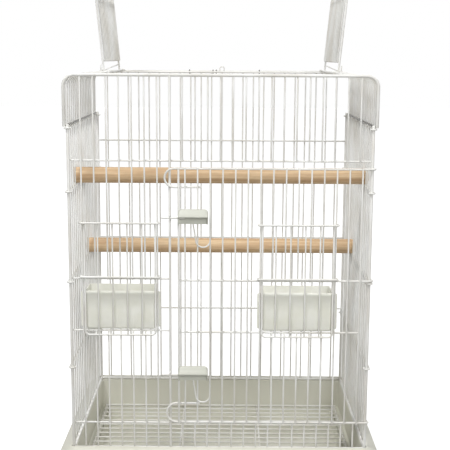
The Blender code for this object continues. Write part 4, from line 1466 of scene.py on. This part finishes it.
@dataclass
class Perch(SubAssembly):
    """A turned dowel whose slotted ends sit on the side bars."""

    name: str
    row: int
    z: float
    radius: float = 0.0127
    end: float = 0.23569
    ease: float = 0.0012
    even_end: float = 0.2  # the last of the plain rings between the ends
    even_rings: int = 9
    slot_depth: float = 0.2288
    slot_half: float = 0.00157
    slot_ease: float = 0.0001
    tool_past: float = 0.002  # how far the slots' cutting tools go past the dowel's ends
    tool_half: float = 0.015  # half their height, which is more than the dowel's radius

    def build(self) -> None:
        """Build the dowel: r(x) is even, with a small round at each end, then the slots are cut."""
        y = SIZES.side_y(self.row)
        turn = np.radians(np.linspace(0.0, 90.0, 5))
        end_x = self.ease * (1.0 - np.cos(turn)) - self.end
        end_r = self.radius - self.ease * (1.0 - np.sin(turn))
        even = np.linspace(-self.even_end, self.even_end, self.even_rings)
        x = np.concatenate([end_x, even, -end_x[::-1]])[:, None]
        r = np.concatenate([end_r, np.full(len(even), self.radius), end_r[::-1]])[:, None]
        spin = full_turn(48)
        dowel = loft(as_points(x, y + r * np.cos(spin), self.z + r * np.sin(spin)))
        piece = self.place(self.name + "_turned", dowel, Coat.PERCH, [self.name])
        low = (self.slot_depth, y - self.slot_half, self.z - self.tool_half)
        high = (self.end + self.tool_past, y + self.slot_half, self.z + self.tool_half)
        slot = plate(low, high, self.slot_ease)
        self.carve(piece, slot.mirrored(), slot)


@dataclass
class MouldedBase(SubAssembly):
    """The double-walled base ring with its floor and the slot for the tray and the grille."""

    shoulder_out: float = 0.027
    shoulder_drop: float = 0.012
    skirt_out: float = 0.029
    wall: float = 0.0025
    corner: float = 0.012
    step_corner: float = 0.003
    step_out: float = 0.00586
    ledge: float = 0.0125
    ledge_z: float = 0.0305
    slot_top: float = 0.0392
    flat: float = 0.0091
    rib: float = 0.0018  # closes the hollow ledges behind the slot's ends
    pocket_turn: float = 40.0  # how far the pockets' floors go round the corners
    # How much of a wall's thickness is left beyond a rib or a floor that goes into the wall.
    rib_side: float = 0.4
    rib_skirt: float = 0.8
    rib_top: float = 0.6
    pocket_side: float = 0.8
    tool_past: float = 0.01  # how far the slot's cutting tool goes out in front
    sharp_turn: float = 32.0  # an edge that turns more than this stays sharp

    def section(self) -> list[tuple[float, float, float, float]]:
        """Work out the ring's section, from the top of its inner wall down, round the ledge and back up.

        Returns:
            Rows of how far a corner stands out, its height, how far it is eased and its ring's own corner.
        """
        s = SIZES
        w = self.wall
        shoulder = s.rim_z - self.shoulder_drop
        slope = self.shoulder_drop / (self.shoulder_out - self.flat)
        return [
            (0.0, s.step_z, 0.0012, self.corner),
            (0.0, self.ledge_z, 0.0010, self.corner),
            (-self.ledge, self.ledge_z, 0.0008, 0.002),
            (-self.ledge, 0.0, 0.0004, 0.002),
            (-self.ledge + w, 0.0, 0.0004, 0.003),
            (-self.ledge + w, self.ledge_z - w, 0.0006, 0.003),
            (w, self.ledge_z - w, 0.0006, self.corner),
            (w, s.step_z - w, 0.0008, self.corner),
            (self.flat + 2.0 * w, s.step_z - w, 0.0010, self.corner + self.flat),
            (self.shoulder_out - w, shoulder - w * slope / 2.0, 0.0030, self.corner + self.shoulder_out - w),
            (self.skirt_out - w, 0.0, 0.0004, self.corner + self.skirt_out - w),
            (self.skirt_out, 0.0, 0.0004, self.corner + self.skirt_out),
            (self.shoulder_out, shoulder, 0.0050, self.corner + self.shoulder_out),
            (self.flat, s.rim_z, 0.0014, self.step_corner + self.flat),
            (self.step_out, s.rim_z, 0.0008, self.step_corner),
            (self.step_out, s.step_z, 0.0006, self.step_corner),
        ]

    def pocket(self, slot_end: float) -> Surface:
        """Build the floor of the right pocket between the slot's end, the rib and the skirt.

        Args:
            slot_end: Where the slot ends inside the base.

        Returns:
            The floor, whose outer edge follows the middle of the skirt's wall round part of the corner.
        """
        s = SIZES
        middle = (s.inner_x - self.corner, self.corner - s.inner_y, 0.0)
        around = self.corner + self.skirt_out - self.wall / 2.0
        curve = arc(middle, around, 0.0, self.pocket_turn, 8, -Y_AXIS, X_AXIS)[:, :2]
        side = s.inner_x - self.ledge + self.wall * self.pocket_side
        rear = slot_end + self.rib
        plan = np.vstack([(side, curve[0, 1]), curve, (curve[-1, 0], rear), (side, rear)])
        return prism(plan, 0.0, self.wall)

    def build(self) -> None:
        """Build the ring, join the floor, the ribs and the pockets' floors to it, and cut the slot."""
        s = SIZES
        w = self.wall
        out, height, corner = eased(self.section()).T
        rings = rounded_rings(out, height, (s.inner_x, s.inner_y), corner)
        piece = self.place("base_moulded", torus_like(rings), Coat.BASE, ["base"])
        front = -(s.inner_y + self.skirt_out)
        inside = s.inner_x - self.ledge + w / 2.0
        floor = box((-inside, front + w / 2.0, 0.0), (inside, s.inner_y - self.ledge + w / 2.0, w))
        self.carve(piece, floor, operation="UNION")
        slot_end = -s.inner_y + self.ledge + w
        rib_end = s.inner_x + self.skirt_out - w * self.rib_skirt
        rib = box(
            (s.inner_x - self.ledge + w * self.rib_side, slot_end, 0.0),
            (rib_end, slot_end + self.rib, self.ledge_z - w * self.rib_top),
        )
        self.carve(piece, rib, rib.mirrored(), operation="UNION")
        pocket = self.pocket(slot_end)
        self.carve(piece, pocket, pocket.mirrored(), operation="UNION")
        slot_x = s.inner_x - s.gap
        self.carve(piece, box((-slot_x, front - self.tool_past, w), (slot_x, slot_end, self.slot_top)))
        soften(piece.data, self.sharp_turn)


@dataclass
class Tray(SubAssembly):
    """The pull-out litter tray with a front panel and a finger recess."""

    body: str = "tray"
    low: float = 0.0028
    height: float = 0.0245
    half_x: float = 0.2120
    rear_y: float = 0.15485
    front_y: float = -0.19335
    wall: float = 0.0018
    corner: float = 0.008
    face_y: float = -0.19735
    panel: float = 0.0055
    panel_play: float = 0.0006
    pull_width: float = 0.090
    pull_height: float = 0.013
    pull_corner: float = 0.0045
    pull_share: float = 0.6  # the recess's depth as a share of the panel's

    def build(self) -> None:
        """Build the pan from rings round its walls, and the panel as a plate with a carved recess."""
        high, w = self.height, self.wall
        # Each row says how far a ring stands out from the pan's walls, and its height.
        outside = [(-0.004, 0.0), (-0.0012, 0.0008), (0.0, 0.0030), (0.0, high - 0.0012), (-0.0004, high)]
        inside = [(-w + 0.0004, high), (-w, high - 0.0012), (-w, 0.0045)]
        floor = [(-w - 0.0012, 0.0024), (-w - 0.004, w)]
        out, rise = np.array(outside + inside + floor).T
        half_y = (self.rear_y - self.front_y) / 2.0
        rings = rounded_rings(out, rise + self.low, (self.half_x, half_y), self.corner)
        rings += (self.rear_y + self.front_y) / 2.0 * Y_AXIS
        self.place("tray_pan", loft(rings), Coat.BASE, ["tray"])

        wide = SIZES.inner_x - self.panel_play
        low = (-wide, self.face_y, self.low)
        panel = plate(low, (wide, self.face_y + self.panel, self.low + high), 0.0010)
        front = self.place("tray_front", panel, Coat.BASE)
        depth = np.array([-0.001, 0.0004, 0.0012, self.panel * self.pull_share])
        grow = np.array([0.0012, 0.0, -0.0008, -0.0030])
        half = (self.pull_width / 2.0, self.pull_height / 2.0)
        rings = rounded_rings(grow, self.face_y + depth, half, self.pull_corner)
        self.carve(front, facing_front(rings, 0.0, self.low + high / 2.0))
        soften(front.data)


@dataclass
class Grille(SubAssembly):
    """The pull-out floor grille: a loop of wire with bars across it and a pull at the front."""

    body: str = "floor_grille"
    z: float = 0.0328
    frame: float = 0.0020
    bars: int = 16
    pitch: float = 0.0203
    bar_rise: float = 0.0014
    cross_x: float = 0.0686
    cross_drop: float = 0.0024  # from the bars' centre lines
    half_x: float = 0.216991
    half_y: float = 0.159841
    corner: float = 0.0075
    pull_half: float = 0.030
    pull_y: float = -0.19385
    pull_bend: float = 0.005
    loop_weld: float = 0.0017
    loop_weld_drop: float = 0.0013

    def build(self) -> None:
        """Build the loop, the pull and the bars."""
        s = SIZES
        turn = full_turn(12)
        section = (self.frame * np.cos(turn), self.z + self.frame * np.sin(turn))
        loop = torus_like(rounded_rings(*section, (self.half_x, self.half_y), self.corner))
        middle = (self.pull_half - self.pull_bend, self.pull_y + self.pull_bend, self.z)
        bend = arc(middle, self.pull_bend, 0.0, -90.0, 8, X_AXIS, Y_AXIS)
        pull = tube(whole(np.vstack([(self.pull_half, -self.half_y, self.z), bend])), s.cross)
        self.place("grille_frame_round", join([loop, pull]), Coat.WIRE, ["grille_frame"])

        bar_z = self.z + self.frame + self.bar_rise
        end = self.half_x + self.frame
        y = centred(self.bars, self.pitch)
        shapes = [copies(level(-end, end, 0.0, bar_z, s.bar), as_points(0.0, y, 0.0))]
        for x in (-self.cross_x, self.cross_x):
            shapes.append(lengthways(x, self.half_y - self.frame, bar_z - self.cross_drop, s.cross))
            shapes.append(beads(as_points(x, y, bar_z - self.cross_drop / 2.0), THIN_WELD, 2))
        for x in (-self.half_x, self.half_x):
            shapes.append(beads(as_points(x, y, bar_z - self.loop_weld_drop), THIN_WELD, 2, self.loop_weld))
        self.place("grille_bars_round", join(shapes), Coat.WIRE, ["grille_bars"])


# The studio


def seen_rays(tree: bpy.types.NodeTree) -> bpy.types.NodeSocket:
    """Tell the rays by which the camera, a gloss or a see-through piece looks at a thing from the rest.

    Args:
        tree: The material's or the world's node tree.

    Returns:
        A socket that is 1 for those rays and 0 for the others.
    """
    rays = add_node(tree, "ShaderNodeLightPath", {}, {})
    seen = rays.outputs["Is Camera Ray"]
    for name in ("Is Glossy Ray", "Is Transmission Ray"):
        links = {0: seen, 1: rays.outputs[name]}
        seen = add_node(tree, "ShaderNodeMath", {"operation": "MAXIMUM"}, links).outputs["Value"]
    return seen


@dataclass
class Studio:
    """A pale floor, soft lamps and the camera at the photograph's viewing angle."""

    focal_px: float = 987.7
    frame_px: float = 450.0
    sensor_mm: float = 36.0
    camera_at: tuple[float, float, float] = (0.0111, -1.6489, 0.6924)
    pitch: float = 9.68
    yaw: float = -0.14
    roll: float = 0.30
    floor_reach: float = 12.0
    floor_colour: str = "#9a9a98"
    floor_glow: float = 0.90
    floor_roughness: float = 0.9
    world_light: float = 0.18

    def floor(self) -> None:
        """Build the floor, which shows white to the camera and keeps the object's shadow."""
        corners = self.floor_reach * np.array([[-1, -1, 0], [1, -1, 0], [1, 1, 0], [-1, 1, 0]])
        mesh = Surface(corners, [[0, 1, 2, 3]]).mesh("floor")
        floor = new_object("floor", mesh)
        material = bpy.data.materials.new("white_paper_floor")
        material.use_nodes = True
        tree = material.node_tree
        shader = tree.nodes["Principled BSDF"]
        shader.inputs["Base Color"].default_value = linear(self.floor_colour)
        shader.inputs["Roughness"].default_value = self.floor_roughness
        shader.inputs["Emission Color"].default_value = linear("#ffffff")
        settings = {"operation": "MULTIPLY", 1: self.floor_glow}
        glow = add_node(tree, "ShaderNodeMath", settings, {0: seen_rays(tree)})
        tree.links.new(glow.outputs["Value"], shader.inputs["Emission Strength"])
        mesh.materials.append(material)

    def world(self) -> None:
        """Set the world: white where it is seen, and an even light for the object."""
        world = bpy.context.scene.world or bpy.data.worlds.new("studio")
        bpy.context.scene.world = world
        world.use_nodes = True
        tree = world.node_tree
        tree.nodes.clear()
        links = {0: seen_rays(tree)}
        for number, strength in ((1, self.world_light), (2, 1.0)):
            settings = {"Color": linear("#ffffff"), "Strength": strength}
            links[number] = add_node(tree, "ShaderNodeBackground", settings, {}).outputs["Background"]
        both = add_node(tree, "ShaderNodeMixShader", {}, links)
        add_node(tree, "ShaderNodeOutputWorld", {}, {"Surface": both.outputs["Shader"]})

    def lamp(
        self, name: str, place: Sequence[float], aim: Sequence[float], size: float, watts: float
    ) -> None:
        """Add a square soft lamp.

        Args:
            name: The lamp's name.
            place: Where it hangs.
            aim: The point it faces.
            size: The length of its side.
            watts: Its power.
        """
        data = bpy.data.lights.new(name, "AREA")
        data.size = size
        data.energy = watts
        lamp = new_object(name, data)
        lamp.location = place
        back = np.asarray(place, float) - np.asarray(aim, float)
        back = back / np.linalg.norm(back)
        lamp.rotation_euler = (math.acos(back[2]), 0.0, math.atan2(back[0], -back[1]))
        lamp.visible_camera = False

    def camera(self) -> None:
        """Add the camera, from the fit to the photograph."""
        data = bpy.data.cameras.new("camera")
        data.sensor_width = self.sensor_mm
        data.lens = self.sensor_mm * self.focal_px / self.frame_px
        data.clip_start = 0.05
        data.clip_end = 60.0
        camera = new_object("camera", data)
        turn = Matrix.Rotation(math.radians(-self.yaw), 4, "Z")
        tilt = Matrix.Rotation(math.radians(90.0 - self.pitch), 4, "X")
        lean = Matrix.Rotation(math.radians(self.roll), 4, "Z")
        camera.matrix_world = Matrix.Translation(self.camera_at) @ turn @ tilt @ lean
        bpy.context.scene.camera = camera

    def build(self) -> None:
        """Build the studio."""
        bpy.context.scene.view_settings.view_transform = "Standard"
        self.floor()
        self.world()
        self.lamp("key", (-1.1, -1.3, 3.4), aim=(0.0, 0.0, 0.35), size=0.7, watts=76.0)
        self.lamp("fill", (0.7, -2.7, 1.5), aim=(0.0, 0.0, 0.30), size=1.0, watts=36.0)
        self.lamp("back", (1.2, 2.6, 1.9), aim=(0.0, 0.0, 0.30), size=1.2, watts=26.0)
        self.camera()


def main() -> None:
    """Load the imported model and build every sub-assembly."""
    logging.basicConfig(level=logging.INFO, format="%(name)s %(message)s")
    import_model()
    Studio().build()
    walls = WireBody()
    door = MainDoor()
    parts = [
        walls,
        RoofHood(),
        RoofDoor(side=-1, lean=5.5),
        RoofDoor(side=1, lean=5.5),
        door,
        FeederDoor("left_feeder_door", walls.guides(), top_z=0.356, low_z=0.274, stop_wire=0.0015),
        FeederDoor("right_feeder_door", door.guides(), door.mid_z, door.shelf_z, stop_wire=0.00173),
        Cup("left_cup", walls.guides(), floor_z=0.2760),
        Cup("right_cup", door.guides(), floor_z=0.27573),
    ]
    for name, z in (("upper_latch", 0.4547), ("lower_latch", 0.2096)):
        latch = Latch(name, z)
        parts += [latch, LatchSpring(latch), LatchCatch(latch)]
    parts += [
        Perch("front_perch", row=5, z=0.5045),
        Perch("rear_perch", row=12, z=0.3650),
        MouldedBase(),
        Tray(),
        Grille(),
    ]
    for part in parts:
        LOG.info("building %s", type(part).__name__)
        part.build()


if __name__ == "__main__":
    main()
